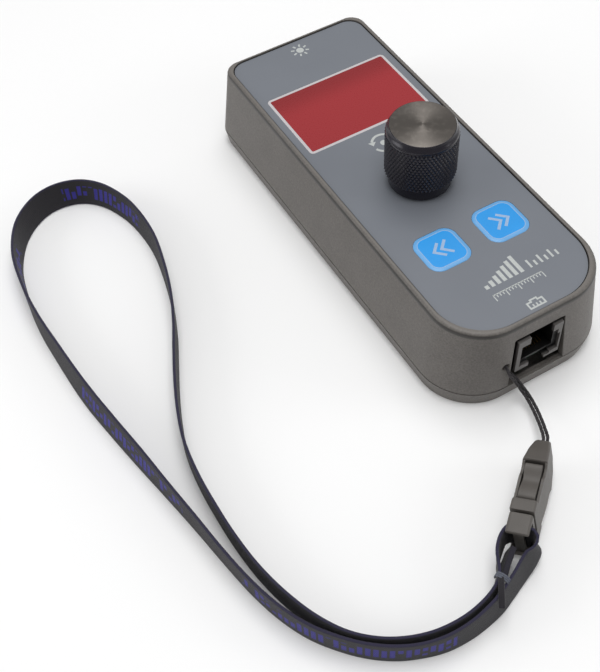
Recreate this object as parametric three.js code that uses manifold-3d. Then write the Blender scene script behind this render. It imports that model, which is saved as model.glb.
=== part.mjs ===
// Hand controller of a telescope focuser: a palm-sized case with a display window, a rotary
// knob, two keys and a modular jack, with a wrist strap on a small side-release buckle.
// Millimetres. Origin at the centre of the case's underside, +Z up through the keys,
// +Y towards the display end, -Y towards the jack.
import * as THREE from "three";
import { mergeVertices } from "three/addons/utils/BufferGeometryUtils.js";
import Module from "manifold-3d";

const wasm = await Module();
wasm.setup();

// ---------------------------------------------------------------- driving dimensions
const GAP = 0.3; // clearance kept between neighbouring pieces
const WALL = 2.2; // case wall thickness

// Case outlines: half width, near (jack) end, far (display) end, corner radii.
const CASE_SEAM = { z: 6.0, half: 30.4, near: -75.3, far: 75.3, nearR: 18.2, farR: 7.0 };
const CASE_RIM = { z: 30.8, half: 27.5, near: -73.4, far: 72.45, nearR: 16.75, farR: 5.4 };
const CASE_BASE = { z: 0.6, half: 29.4, near: -74.3, far: 74.3, nearR: 17.4, farR: 6.2 };
const RIM_ROUND = 1.4; // radius of the rounded top edge
const CASE_TOP = CASE_RIM.z + RIM_ROUND;
const CEILING_Z = 29.0; // underside of the top plate
const FLOOR_Z = 2.0; // inside of the bottom cover

const OVERLAY = { half: 25.5, near: -71.45, far: 70.8, nearR: 16.0, farR: 5.5, top: 31.68, thick: 0.5 };
const RECESS_Z = OVERLAY.top - OVERLAY.thick - GAP;

const WINDOW = { half: 23.1, near: 18.05, far: 48.4, radius: 0.8 };
const KEY = { size: 14.8, radius: 4.1, x: 10.7, y: -37.8, travel: 0.3, thick: 0.4, stemR: 2.0 };

const KNOB = { x: 0, y: -9.86, bottom: 32.4, top: 54.9, skirtR: 10.0, knurlR: 11.4, bandR: 11.1 };
const SHAFT_R = 3.0;
const BUSH_R = 4.5;

const JACK = { x: -0.7, width: 16.0, front: -74.6, depth: 15.0, bottom: 12.3, height: 12.55 };
const CUTOUT = { x: -0.7, topZ: 25.8, topHalf: 8.85, bottomHalf: 10.2 };
const EYELET = { x: -12.3, z: 15.7, radius: 1.2 };

const MAIN_BOARD_Z = 10.4;
const FRONT_BOARD_Z = 19.6;
const BOARD_THICK = 1.6;

const CORD_R = 0.5;
const RIBBON = { width: 9.9, thick: 0.9 };
const BUCKLE = { x: -15.9, y: -98.9, z: 8.4, heading: 220, lean: 12 };

// ---------------------------------------------------------------- solids
function signedVolume(position, index) {
  let sum = 0;
  const a = new THREE.Vector3();
  const b = new THREE.Vector3();
  const c = new THREE.Vector3();
  for (let i = 0; i < index.length; i += 3) {
    a.fromBufferAttribute(position, index[i]);
    b.fromBufferAttribute(position, index[i + 1]);
    c.fromBufferAttribute(position, index[i + 2]);
    sum += a.dot(b.cross(c)) / 6;
  }
  return sum;
}

// Closed geometry to a solid: shared corners merged, empty triangles dropped, faces outwards.
function toSolid(geometry) {
  const bare = geometry.clone();
  bare.deleteAttribute("normal");
  bare.deleteAttribute("uv");
  const merged = mergeVertices(bare, 1e-4);
  const source = merged.index.array;
  const kept = [];
  for (let i = 0; i < source.length; i += 3) {
    const [p, q, r] = [source[i], source[i + 1], source[i + 2]];
    if (p !== q && q !== r && r !== p) kept.push(p, q, r);
  }
  if (signedVolume(merged.attributes.position, kept) < 0) kept.reverse();
  return new wasm.Manifold(new wasm.Mesh({
    numProp: 3,
    vertProperties: new Float32Array(merged.attributes.position.array),
    triVerts: new Uint32Array(kept),
  }));
}

function toGeometry(solid) {
  const mesh = solid.getMesh();
  const geometry = new THREE.BufferGeometry();
  geometry.setAttribute("position", new THREE.BufferAttribute(mesh.vertProperties, 3));
  geometry.setIndex(new THREE.BufferAttribute(mesh.triVerts, 1));
  geometry.computeVertexNormals();
  return geometry;
}

const union = (first, ...rest) => rest.reduce((sum, solid) => sum.add(solid), first);
const cut = (body, ...tools) => tools.reduce((left, tool) => left.subtract(tool), body);

function box(x0, x1, y0, y1, z0, z1) {
  const geometry = new THREE.BoxGeometry(x1 - x0, y1 - y0, z1 - z0);
  geometry.translate((x0 + x1) / 2, (y0 + y1) / 2, (z0 + z1) / 2);
  return toSolid(geometry);
}

// Upright cylinder; `sides` is its number of facets.
function post(radius, x, y, z0, z1, sides = 24) {
  const geometry = new THREE.CylinderGeometry(radius, radius, z1 - z0, sides);
  geometry.rotateX(Math.PI / 2);
  geometry.translate(x, y, (z0 + z1) / 2);
  return toSolid(geometry);
}

// Cylinder lying along Y.
function rodY(radius, x, z, y0, y1, sides = 20) {
  const geometry = new THREE.CylinderGeometry(radius, radius, y1 - y0, sides);
  geometry.translate(x, (y0 + y1) / 2, z);
  return toSolid(geometry);
}

// Flat outline, with optional holes, raised from z0 to z1.
function prism(outline, z0, z1, holes = []) {
  const shape = new THREE.Shape(outline.map(([x, y]) => new THREE.Vector2(x, y)));
  shape.holes = holes.map((hole) => new THREE.Path(hole.map(([x, y]) => new THREE.Vector2(x, y))));
  const geometry = new THREE.ExtrudeGeometry(shape, { depth: z1 - z0, bevelEnabled: false });
  geometry.translate(0, 0, z0);
  return toSolid(geometry);
}

// Profile of [radius, z] points turned about an upright axis.
function turned(profile, x, y, sides = 32) {
  const points = profile.map(([r, z]) => new THREE.Vector2(r, z));
  const geometry = new THREE.LatheGeometry(points, sides);
  geometry.rotateX(Math.PI / 2);
  geometry.translate(x, y, 0);
  return toSolid(geometry);
}

// Skin through outlines of equal point count, one at each height, closed at both ends.
function loft(levels) {
  const count = levels[0].outline.length;
  const position = [];
  for (const { outline, z } of levels) {
    for (const [x, y] of outline) position.push(x, y, z);
  }
  const index = [];
  for (let level = 0; level < levels.length - 1; level += 1) {
    for (let i = 0; i < count; i += 1) {
      const a = level * count + i;
      const b = level * count + ((i + 1) % count);
      index.push(a, b, b + count, a, b + count, a + count);
    }
  }
  const last = (levels.length - 1) * count;
  for (let i = 1; i < count - 1; i += 1) {
    index.push(0, i + 1, i);
    index.push(last, last + i, last + i + 1);
  }
  const geometry = new THREE.BufferGeometry();
  geometry.setAttribute("position", new THREE.Float32BufferAttribute(position, 3));
  geometry.setIndex(index);
  return toSolid(geometry);
}

// ---------------------------------------------------------------- outlines
function arc(cx, cy, radius, fromDeg, toDeg, steps) {
  const points = [];
  for (let i = 0; i <= steps; i += 1) {
    const angle = THREE.MathUtils.degToRad(fromDeg + ((toDeg - fromDeg) * i) / steps);
    points.push([cx + radius * Math.cos(angle), cy + radius * Math.sin(angle)]);
  }
  return points;
}

// Rectangle with its own corner radii at the near and the far end.
function plate(half, near, far, nearR, farR, nearSteps = 10, farSteps = 5) {
  return [
    ...arc(-half + nearR, near + nearR, nearR, 180, 270, nearSteps),
    ...arc(half - nearR, near + nearR, nearR, 270, 360, nearSteps),
    ...arc(half - farR, far - farR, farR, 0, 90, farSteps),
    ...arc(-half + farR, far - farR, farR, 90, 180, farSteps),
  ];
}

function roundedSquare(size, radius, x, y, steps = 6) {
  const half = size / 2;
  return plate(half, -half, half, radius, radius, steps, steps).map(([px, py]) => [px + x, py + y]);
}

const mix = (from, to, t) => from + (to - from) * t;

// Case outline at a height between two stations, moved inwards by `inset`.
function caseOutline(low, high, z, inset) {
  const t = (z - low.z) / (high.z - low.z);
  return plate(
    mix(low.half, high.half, t) - inset,
    mix(low.near, high.near, t) + inset,
    mix(low.far, high.far, t) - inset,
    Math.max(mix(low.nearR, high.nearR, t) - inset, 1),
    Math.max(mix(low.farR, high.farR, t) - inset, 1),
  );
}

const levelOf = (low, high) => (z, inset, drawnAt = z) => ({ z: drawnAt, outline: caseOutline(low, high, z, inset) });
const shellLevel = levelOf(CASE_SEAM, CASE_RIM);
const coverLevel = levelOf(CASE_BASE, CASE_SEAM);

// ---------------------------------------------------------------- fastener places
const COVER_SCREWS = [[-17.5, -60], [17.5, -60], [-20.5, 65.5], [20.5, 65.5]];
const MAIN_SCREWS = [[-19, -44], [19, -44], [-19, 16], [19, 16]];
const FRONT_SCREWS = [[-20.5, -48], [20.5, -48], [-20.5, 57], [20.5, 57]];
const SCREW_R = 1.25;
const SCREW_HOLE_R = SCREW_R + GAP;

// ---------------------------------------------------------------- case
function topShell() {
  const rounding = [0, 30, 60, 90].map((degrees) => {
    const angle = THREE.MathUtils.degToRad(degrees);
    const inset = RIM_ROUND * (1 - Math.cos(angle));
    return shellLevel(CASE_RIM.z, inset, CASE_RIM.z + RIM_ROUND * Math.sin(angle));
  });
  const outside = loft([shellLevel(CASE_SEAM.z + GAP, 0), ...rounding]);
  const inside = loft([shellLevel(CASE_SEAM.z - 1, WALL), shellLevel(CEILING_Z, WALL)]);
  const recess = prism(
    plate(OVERLAY.half + GAP, OVERLAY.near - GAP, OVERLAY.far + GAP, OVERLAY.nearR + GAP, OVERLAY.farR + GAP),
    RECESS_Z, CASE_TOP + 1,
  );
  const windowHole = box(-21, 21, WINDOW.near + 2.2, WINDOW.far - 2.2, CEILING_Z - 1, CASE_TOP);
  const keyHoles = [-KEY.x, KEY.x].map((x) => post(KEY.stemR + GAP, x, KEY.y, CEILING_Z - 1, CASE_TOP));
  const shaftHole = post(BUSH_R + GAP, KNOB.x, KNOB.y, CEILING_Z - 1, CASE_TOP, 32);
  let shell = cut(outside, inside, recess, windowHole, shaftHole, ...keyHoles);

  const cutoutOutline = [
    [CUTOUT.x - CUTOUT.bottomHalf, CASE_SEAM.z - 1],
    [CUTOUT.x + CUTOUT.bottomHalf, CASE_SEAM.z - 1],
    [CUTOUT.x + CUTOUT.topHalf, CUTOUT.topZ],
    [CUTOUT.x - CUTOUT.topHalf, CUTOUT.topZ],
  ];
  const cutout = prism(cutoutOutline, 0, 12).rotate([90, 0, 0]).translate([0, -66, 0]);
  const eyelet = rodY(EYELET.radius, EYELET.x, EYELET.z, -80, -66);
  shell = cut(shell, cutout, eyelet);

  const inShell = CEILING_Z + 0.5; // bosses grow out of the top plate
  const coverBosses = COVER_SCREWS.map(([x, y]) => post(3.2, x, y, 8.0, inShell));
  const frontBosses = FRONT_SCREWS.map(([x, y]) => post(2.9, x, y, FRONT_BOARD_Z + BOARD_THICK + GAP, inShell));
  const coverPilots = COVER_SCREWS.map(([x, y]) => post(SCREW_HOLE_R, x, y, 7, 22, 16));
  const frontPilots = FRONT_SCREWS.map(([x, y]) => post(SCREW_HOLE_R, x, y, 20, 28, 16));
  return cut(union(shell, ...coverBosses, ...frontBosses), ...coverPilots, ...frontPilots);
}

function bottomCover() {
  const outside = loft([coverLevel(CASE_BASE.z, 0.6, 0), coverLevel(CASE_BASE.z, 0), coverLevel(CASE_SEAM.z, 0)]);
  const hollow = loft([coverLevel(FLOOR_Z, WALL), coverLevel(CASE_SEAM.z + 1, WALL)]);
  let cover = cut(outside, hollow);

  // Lip that locates the cover inside the shell, open at the jack.
  const lipOut = shellLevel(CASE_SEAM.z, WALL + GAP).outline;
  const lipIn = shellLevel(CASE_SEAM.z, WALL + GAP + 1.1).outline;
  const lip = cut(
    loft([{ z: FLOOR_Z - 0.5, outline: lipOut }, { z: 7.6, outline: lipOut }]),
    loft([{ z: FLOOR_Z - 1, outline: lipIn }, { z: 9, outline: lipIn }]),
    box(-13.8, 12, -80, -60, FLOOR_Z, 9),
  );
  cover = cover.add(lip);

  const pillars = COVER_SCREWS.map(([x, y]) => post(3.6, x, y, FLOOR_Z - 1, 7.7));
  const stands = MAIN_SCREWS.map(([x, y]) => post(2.6, x, y, FLOOR_Z - 1, MAIN_BOARD_Z - GAP));
  const heads = COVER_SCREWS.map(([x, y]) => post(2.9, x, y, -1, 2.9));
  const shanks = COVER_SCREWS.map(([x, y]) => post(SCREW_HOLE_R, x, y, 1, 9, 16));
  const pilots = MAIN_SCREWS.map(([x, y]) => post(SCREW_HOLE_R, x, y, 3.4, 12, 16));
  cover = cut(union(cover, ...pillars, ...stands), ...heads, ...shanks, ...pilots);
  return cover;
}

// ---------------------------------------------------------------- front face
function frontOverlay() {
  const keyOpenings = [-KEY.x, KEY.x].map((x) => roundedSquare(KEY.size + 2 * GAP, KEY.radius + GAP, x, KEY.y));
  const windowOpening = plate(
    WINDOW.half, WINDOW.near, WINDOW.far, WINDOW.radius, WINDOW.radius, 3, 3,
  );
  const shaftOpening = arc(KNOB.x, KNOB.y, 7.2, 0, 348.75, 31);
  return prism(
    plate(OVERLAY.half, OVERLAY.near, OVERLAY.far, OVERLAY.nearR, OVERLAY.farR, 14, 6),
    OVERLAY.top - OVERLAY.thick, OVERLAY.top, [...keyOpenings, windowOpening, shaftOpening],
  );
}

function displayWindow() {
  return prism(
    plate(WINDOW.half - GAP, WINDOW.near + GAP, WINDOW.far - GAP, 0.6, 0.6, 3, 3),
    OVERLAY.top - OVERLAY.thick, OVERLAY.top,
  );
}

function keyCap(x) {
  const pad = prism(
    roundedSquare(KEY.size, KEY.radius, x, KEY.y), OVERLAY.top - KEY.thick, OVERLAY.top,
  );
  return pad.add(post(KEY.stemR, x, KEY.y, 25.6, OVERLAY.top - KEY.thick / 2, 20));
}

// ---------------------------------------------------------------- knob and encoder
function focusKnob() {
  const { bottom, top, skirtR, knurlR, bandR } = KNOB;
  const body = turned([
    [0, bottom], [skirtR - 0.3, bottom], [skirtR, bottom + 0.3], [skirtR, bottom + 2.5],
    [knurlR, bottom + 3.5], [knurlR, top - 2.1], [bandR, top - 1.8], [bandR, top - 0.9],
    [10.1, top], [0, top],
  ], KNOB.x, KNOB.y, 48);
  const nutRecess = post(7.8, KNOB.x, KNOB.y, bottom - 1, bottom + 3.2, 32);
  const bore = post(SHAFT_R + GAP, KNOB.x, KNOB.y, bottom, top - 4.2, 24);
  const grubHole = rodY(1.8, KNOB.x, bottom + 8.1, KNOB.y + 1, KNOB.y + 14);
  return cut(body, nutRecess, bore, grubHole);
}

function knobGrubScrew() {
  const z = KNOB.bottom + 8.1;
  const screw = rodY(1.5, KNOB.x, z, KNOB.y + SHAFT_R + GAP, KNOB.y + 9.6, 16);
  return screw.subtract(rodY(0.8, KNOB.x, z, KNOB.y + 8.0, KNOB.y + 11, 6));
}

function encoderShaft() {
  const shaft = post(SHAFT_R, KNOB.x, KNOB.y, 23.9, KNOB.top - 4.6, 24);
  const flat = box(-4, 4, KNOB.y + SHAFT_R - 0.5, KNOB.y + 5, 36, 60);
  return shaft.subtract(flat);
}

function encoderHousing() {
  const base = FRONT_BOARD_Z + BOARD_THICK + GAP;
  const body = box(-6.2, 6.2, KNOB.y - 6.6, KNOB.y + 6.6, base, 28.4);
  const bush = post(BUSH_R, KNOB.x, KNOB.y, 28, 34.4, 32);
  return union(body, bush).subtract(post(SHAFT_R + GAP, KNOB.x, KNOB.y, 22.1, 40, 24));
}

const encoderPlunger = () => post(2.8, KNOB.x, KNOB.y, 22.7, 23.6, 20);

function ring(outerR, innerR, z0, z1, sides) {
  return post(outerR, KNOB.x, KNOB.y, z0, z1, sides).subtract(
    post(innerR, KNOB.x, KNOB.y, z0 - 1, z1 + 1, 32),
  );
}

// ---------------------------------------------------------------- boards and their parts
function board(outline, z, screws, extraHoles = []) {
  const holes = screws.map(([x, y]) => post(SCREW_HOLE_R, x, y, z - 1, z + 3, 16));
  return cut(prism(outline, z, z + BOARD_THICK), ...holes, ...extraHoles);
}

function mainBoard() {
  const half = [[8.6, -72], [8.6, -52], [22.5, -52], [22.5, 24]];
  const outline = [...half, ...half.map(([x, y]) => [-x, y]).reverse()];
  return board(outline, MAIN_BOARD_Z, MAIN_SCREWS);
}

function frontBoard() {
  const outline = [[-24, -53.5], [24, -53.5], [24, 60.5], [-24, 60.5]];
  return board(outline, FRONT_BOARD_Z, FRONT_SCREWS);
}

// Pan-head screw: head from zHead upwards (or downwards), shank the other way.
function screw(x, y, zHead, zTip, headR = 2.3, headHeight = 1.5) {
  const up = zTip < zHead ? 1 : -1;
  const zTop = zHead + up * headHeight;
  const [h0, h1] = [Math.min(zHead, zTop), Math.max(zHead, zTop)];
  const [s0, s1] = [Math.min(zHead + up * 0.1, zTip), Math.max(zHead + up * 0.1, zTip)];
  const body = union(post(headR, x, y, h0, h1, 20), post(SCREW_R, x, y, s0, s1, 14));
  const slots = [box(x - 1.5, x + 1.5, y - 0.3, y + 0.3, -0.8, 0.8), box(x - 0.3, x + 0.3, y - 1.5, y + 1.5, -0.8, 0.8)];
  return cut(body, ...slots.map((slot) => slot.translate([0, 0, zTop])));
}

function tactSwitch(x) {
  const base = FRONT_BOARD_Z + BOARD_THICK + GAP;
  return box(x - 3, x + 3, KEY.y - 3, KEY.y + 3, base, 24.6).subtract(post(1.9, x, KEY.y, 23.3, 26, 20));
}

const switchPlunger = (x) => post(1.5, x, KEY.y, 23.8, 25.3, 20);

function headerStrip(x0, x1, y0, y1, z0, z1) {
  return box(x0, x1, y0, y1, z0 + GAP, z1 - GAP);
}

// ---------------------------------------------------------------- modular jack
function jackHousing() {
  const { x, width, front, depth, bottom, height } = JACK;
  const top = bottom + height;
  const skirt = box(x - width / 2, x + width / 2, front, front + 2.2, bottom - 1.6, bottom + 1);
  const body = box(x - width / 2, x + width / 2, front, front + depth, bottom, top).add(skirt);
  const plugCavity = box(x - 5.9, x + 5.9, front - 1, front + 12, bottom + 1.6, bottom + 9.6);
  const latchSlot = box(x - 3.1, x + 3.1, front - 1, front + 12, bottom + 9, top - 0.9);
  const latchMouth = box(x - 4.1, x + 4.1, front - 1, front + 4.5, bottom + 9, top + 1);
  const floorMouth = box(x - 3.6, x + 2.8, front - 1, front + 2.3, bottom - 2, bottom + 3);
  return cut(body, plugCavity, latchSlot, latchMouth, floorMouth);
}

// Spring wire of the jack, sloping up and back along the plug cavity's floor.
function jackContact(number) {
  const x = JACK.x + (number - 4.5) * 1.02;
  const outline = [[-71.2, 14.2], [-70.4, 14.2], [-63.1, 15.1], [-63.1, 15.6], [-70.6, 14.7], [-71.2, 14.7]];
  return prism(outline, 0, 0.46).rotate([90, 0, 90]).translate([x - 0.23, 0, 0]);
}

// ---------------------------------------------------------------- buckle, in its own frame:
// X along its length from the cord end, Y through its thickness, Z across its width.
function female() {
  const halfWidths = [[0, 4.0], [1, 4.6], [5, 6.3], [9.5, 7.5], [14, 7.3], [20.8, 6.9], [22, 7.1], [25.4, 7.1]];
  const side = [...halfWidths, ...halfWidths.map(([s, w]) => [s, -w]).reverse()];
  const halfThicks = [[0, 2.2], [4, 2.9], [9.5, 3.5], [25.4, 3.4]];
  const plan = [...halfThicks, ...halfThicks.map(([s, t]) => [s, -t]).reverse()];
  const across = prism(side, -4, 4).rotate([90, 0, 0]);
  const through = prism(plan, -9, 9);
  const body = across.intersect(through);
  const hollow = box(6, 30, -2.1, 2.1, -5.2, 5.2);
  const windows = box(9.3, 21.6, -2.1, 2.1, -10, 10);
  const scallops = [-8.9, 8.9].map((z) => {
    const disc = new THREE.CylinderGeometry(3.4, 3.4, 9, 24);
    disc.translate(12.2, 0, z);
    return toSolid(disc);
  });
  const cordTunnel = box(-1, 8, -1.7, 1.7, -1.1, 1.1);
  return cut(body, hollow, windows, cordTunnel, ...scallops);
}

function male() {
  const side = [[26, 6.9], [27, 6.9], [30.6, 6.4], [32, 6.2]];
  const outline = [...side, ...side.map(([s, w]) => [s, -w]).reverse()];
  const block = prism(outline, -3.25, 3.25).rotate([90, 0, 0]);
  const slot = box(27.6, 30.0, -5, 5, -5.3, 5.3);
  const barTrim = [box(29.9, 34, 1.4, 5, -5.3, 5.3), box(29.9, 34, -5, -1.4, -5.3, 5.3)];
  const tongue = box(9.5, 26.5, -1.5, 1.5, -1.2, 1.2);
  return cut(block, slot, ...barTrim).add(tongue);
}

// Spring prong with its finger pad; `up` is +1 on one edge of the buckle and -1 on the other.
function latch(up) {
  const outline = [
    [10.0, 3.4], [24.6, 3.0], [24.6, 4.5], [21.2, 4.6], [21.2, 6.9], [18.2, 6.7], [14.8, 5.9],
    [12.2, 6.9], [10.6, 7.3], [10.0, 6.9],
  ].map(([s, w]) => [s, w * up]);
  return prism(outline, -1.75, 1.75).rotate([90, 0, 0]);
}

// ---------------------------------------------------------------- cord and webbing
// Thin cord: from inside the buckle's end, up to the eyelet in the case wall, round behind
// the wall, out through the jack opening and back beside itself into the buckle.
const CORD_ROUTE = [
  [-18.0, -99.9, 8.4], [-16.35, -98.36, 8.4], [-14.1, -96.1, 8.2], [-11.9, -92.4, 6.6], [-9.8, -88.0, 4.8],
  [-8.4, -84.0, 4.0], [-8.0, -80.6, 4.7], [-8.6, -78.0, 6.6], [-9.7, -77.0, 9.2], [-11.2, -76.8, 12.2],
  [-12.3, -76.5, 14.6], [-12.35, -75.2, 15.75], [-12.3, -73.6, 15.8], [-12.2, -71.8, 15.4],
  [-11.5, -70.4, 14.2], [-10.5, -70.1, 12.6], [-9.9, -71.2, 11.3], [-9.75, -72.9, 10.7], [-9.5, -74.5, 10.3],
  [-8.75, -75.9, 9.4], [-7.7, -77.5, 7.0], [-6.95, -80.4, 4.9], [-7.35, -84.2, 4.2], [-8.8, -88.5, 4.9],
  [-10.95, -92.95, 6.7], [-13.15, -96.8, 8.3], [-15.5, -99.3, 8.45], [-17.2, -100.85, 8.4],
];

function tetherCord() {
  const path = new THREE.CatmullRomCurve3(CORD_ROUTE.map((p) => new THREE.Vector3(...p)), false, "centripetal");
  const section = new THREE.Shape(arc(0, 0, CORD_R, 0, 315, 7).map(([x, y]) => new THREE.Vector2(x, y)));
  return toSolid(new THREE.ExtrudeGeometry(section, { steps: 76, extrudePath: path }));
}

// Wrist strap, one closed band: each row is the middle of the webbing and the lean, in degrees, of its
// top edge to the left of the way it runs. It leaves the buckle's slot, runs out along the near side,
// turns at the far end, comes back inside its first run and goes into the slot again.
const STRAP_ROUTE = [
  [-37.96, -117.41, 8.4, 0], [-36.95, -118.65, 8.7, 0], [-35.95, -120.3, 9, -4],
  [-36.6, -122.1, 8.2, -10], [-38.9, -123.5, 6.6, -15], [-42.2, -124.9, 5.7, -15],
  [-45.4, -126.3, 5.3, -13], [-48.9, -127.8, 5.15, -12], [-52.6, -129.3, 5.05, -11],
  [-56.8, -130.4, 5, -9], [-63.5, -131.4, 5, -6], [-71, -131.2, 5, -3], [-78.2, -129.3, 5, 0],
  [-84.7, -126.1, 5, 0], [-90.5, -121.7, 5, 0], [-95.6, -116.3, 5, 0], [-100.3, -109.8, 5, 0],
  [-104.1, -101.7, 5, 0], [-107.1, -91.7, 5, 0], [-109.4, -79.6, 5, 0], [-111.4, -66.4, 5, -2],
  [-113.6, -53, 5, -5], [-115.8, -39.5, 5, -10], [-118.2, -25.1, 5, -12], [-120.5, -9, 5, -13],
  [-121.9, 10.9, 5, -9], [-122.4, 24, 5, -5], [-121.5, 38.2, 5, 1], [-118.6, 53, 5, 6],
  [-112, 65, 5, 12], [-103.3, 71.7, 5, 14], [-95.6, 73.2, 5, 14], [-87.8, 71, 5, 13],
  [-82, 65.4, 5, 12], [-77.7, 55.4, 5, 11], [-76.2, 46.4, 5, 9], [-76.2, 34.8, 5, 7],
  [-78.2, 23.2, 5, 5], [-81.7, 10, 5, 3], [-86.3, -2, 5, 1], [-91, -12, 5, 0], [-95.6, -22, 5, 0],
  [-99.7, -32.2, 5, 0], [-102.9, -42.8, 5, 0], [-104.5, -55, 5, 0], [-104.8, -67, 5, 0],
  [-104.5, -78, 5, 0], [-103.2, -89.5, 5, 0], [-100.6, -100.2, 5, 0], [-97, -109.5, 5, 0],
  [-92.4, -116.9, 5, 0], [-86.8, -122.2, 5, 0], [-80.7, -125.8, 5, 0], [-73.5, -128.2, 5, 0],
  [-65.2, -128.9, 5, 0], [-58, -127.9, 5, 0], [-53.4, -126.3, 5.05, 0], [-50.3, -124.5, 5.15, 2],
  [-48.5, -122.1, 5.6, 4], [-47, -119.5, 6.4, 6], [-44.9, -117.2, 7.3, 8], [-42.6, -115.6, 7.9, 6],
  [-40.6, -115.1, 7.75, 3], [-38.97, -116.15, 8.07, 0],
];
const STRAP_STEPS = 3; // sections between two rows of the route

function strapSection(path, step) {
  const count = STRAP_ROUTE.length;
  const row = Math.floor(step / STRAP_STEPS);
  const share = (step % STRAP_STEPS) / STRAP_STEPS;
  const lean = THREE.MathUtils.degToRad(mix(STRAP_ROUTE[row][3], STRAP_ROUTE[(row + 1) % count][3], share));
  const t = step / (count * STRAP_STEPS);
  const along = path.getTangent(t);
  const up = new THREE.Vector3(0, 0, 1).addScaledVector(along, -along.z).normalize();
  up.applyAxisAngle(along, -lean);
  const side = new THREE.Vector3().crossVectors(up, along).multiplyScalar(RIBBON.thick / 2);
  up.multiplyScalar(RIBBON.width / 2);
  const middle = path.getPoint(t);
  const corner = (a, b) => middle.clone().addScaledVector(side, a).addScaledVector(up, b);
  return [corner(1, -1), corner(-1, -1), corner(-1, 1), corner(1, 1)];
}

function wristStrap() {
  const points = STRAP_ROUTE.map(([x, y, z]) => new THREE.Vector3(x, y, z));
  const path = new THREE.CatmullRomCurve3(points, true, "centripetal");
  const sections = STRAP_ROUTE.length * STRAP_STEPS;
  const position = [];
  const index = [];
  for (let i = 0; i < sections; i += 1) {
    for (const corner of strapSection(path, i)) position.push(...corner.toArray());
    const next = (i + 1) % sections;
    for (let k = 0; k < 4; k += 1) {
      const [a, b] = [i * 4 + k, i * 4 + ((k + 1) % 4)];
      const [c, d] = [next * 4 + k, next * 4 + ((k + 1) % 4)];
      index.push(a, b, d, a, d, c);
    }
  }
  const geometry = new THREE.BufferGeometry();
  geometry.setAttribute("position", new THREE.Float32BufferAttribute(position, 3));
  geometry.setIndex(index);
  return toSolid(geometry);
}

// ---------------------------------------------------------------- finishes
const finish = (color, roughness, metalness = 0) => ({ color, roughness, metalness });
const FINISH = {
  casePlastic: finish(0x5f5b56, 0.62),
  overlayFilm: finish(0x7e8287, 0.45),
  redLens: finish(0xa83a40, 0.25),
  blueKey: finish(0x479fe6, 0.4),
  anodised: finish(0x3c3a3c, 0.35, 0.8),
  steel: finish(0x9a9a98, 0.35, 0.9),
  zincSteel: finish(0x7c7c7a, 0.4, 0.8),
  solderMask: finish(0x1f4a33, 0.5),
  displayGlass: finish(0x14161a, 0.15),
  chip: finish(0x202022, 0.5),
  jackPlastic: finish(0x3a3836, 0.5),
  gold: finish(0xc9a24a, 0.3, 0.9),
  buckle: finish(0x4a4743, 0.5),
  cord: finish(0x2f2c2d, 0.9),
  webbing: finish(0x38373a, 0.95),
};

const controller = new THREE.Group();
const buckleTurn = new THREE.Group();
const buckleLean = new THREE.Group();
buckleTurn.position.set(BUCKLE.x, BUCKLE.y, BUCKLE.z);
buckleTurn.rotation.z = THREE.MathUtils.degToRad(BUCKLE.heading);
buckleLean.rotation.x = THREE.MathUtils.degToRad(BUCKLE.lean);
buckleTurn.add(buckleLean);
controller.add(buckleTurn);

function addPiece(name, solid, look, parent = controller) {
  const mesh = new THREE.Mesh(toGeometry(solid), new THREE.MeshStandardMaterial(look));
  mesh.name = name;
  parent.add(mesh);
}

// ---------------------------------------------------------------- assembly
addPiece("top_shell", topShell(), FINISH.casePlastic);
addPiece("bottom_cover", bottomCover(), FINISH.casePlastic);
addPiece("front_overlay", frontOverlay(), FINISH.overlayFilm);
addPiece("display_window", displayWindow(), FINISH.redLens);
addPiece("display_panel", box(-22.5, 22.5, 19.0, 47.5, 26.2, 28.6), FINISH.displayGlass);
addPiece("display_board", box(-24, 24, 15.5, 51.5, 24.3, 25.9), FINISH.solderMask);
const frontBoardTop = FRONT_BOARD_Z + BOARD_THICK;
addPiece("display_header", headerStrip(-12, 12, 48.6, 51.1, frontBoardTop, 24.3), FINISH.chip);
addPiece("front_board", frontBoard(), FINISH.solderMask);
addPiece("main_board", mainBoard(), FINISH.solderMask);
const mainBoardTop = MAIN_BOARD_Z + BOARD_THICK;
addPiece("board_connector", headerStrip(-10, 10, 8, 13, mainBoardTop, FRONT_BOARD_Z), FINISH.chip);

addPiece("encoder_housing", encoderHousing(), FINISH.zincSteel);
addPiece("encoder_washer", ring(6.8, BUSH_R + GAP, RECESS_Z + GAP, 31.7, 32), FINISH.steel);
addPiece("encoder_nut", ring(6.9, BUSH_R + GAP, 32.0, 34.0, 6), FINISH.steel);
addPiece("encoder_plunger", encoderPlunger(), FINISH.chip);
addPiece("encoder_shaft", encoderShaft(), FINISH.steel);
addPiece("focus_knob", focusKnob(), FINISH.anodised);
addPiece("knob_grub_screw", knobGrubScrew(), FINISH.steel);

for (const [side, x] of [["left", -KEY.x], ["right", KEY.x]]) {
  addPiece(`key_${side}`, keyCap(x), FINISH.blueKey);
  addPiece(`key_switch_${side}`, tactSwitch(x), FINISH.chip);
  addPiece(`switch_plunger_${side}`, switchPlunger(x), FINISH.chip);
}

addPiece("jack_housing", jackHousing(), FINISH.jackPlastic);
for (let number = 1; number <= 8; number += 1) {
  addPiece(`jack_contact_${number}`, jackContact(number), FINISH.gold);
}

const onMain = mainBoardTop + GAP;
addPiece("microcontroller", box(-6, 6, -26, -14, onMain, onMain + 1.4), FINISH.chip);
addPiece("crystal_can", box(10, 14, -24, -13, onMain, onMain + 3.2), FINISH.steel);
addPiece("line_driver_chip", box(-4, 2, -48, -43, onMain, onMain + 1.5), FINISH.chip);
addPiece("voltage_regulator", box(-17, -10.5, -34, -28, onMain, onMain + 1.8), FINISH.chip);

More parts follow.
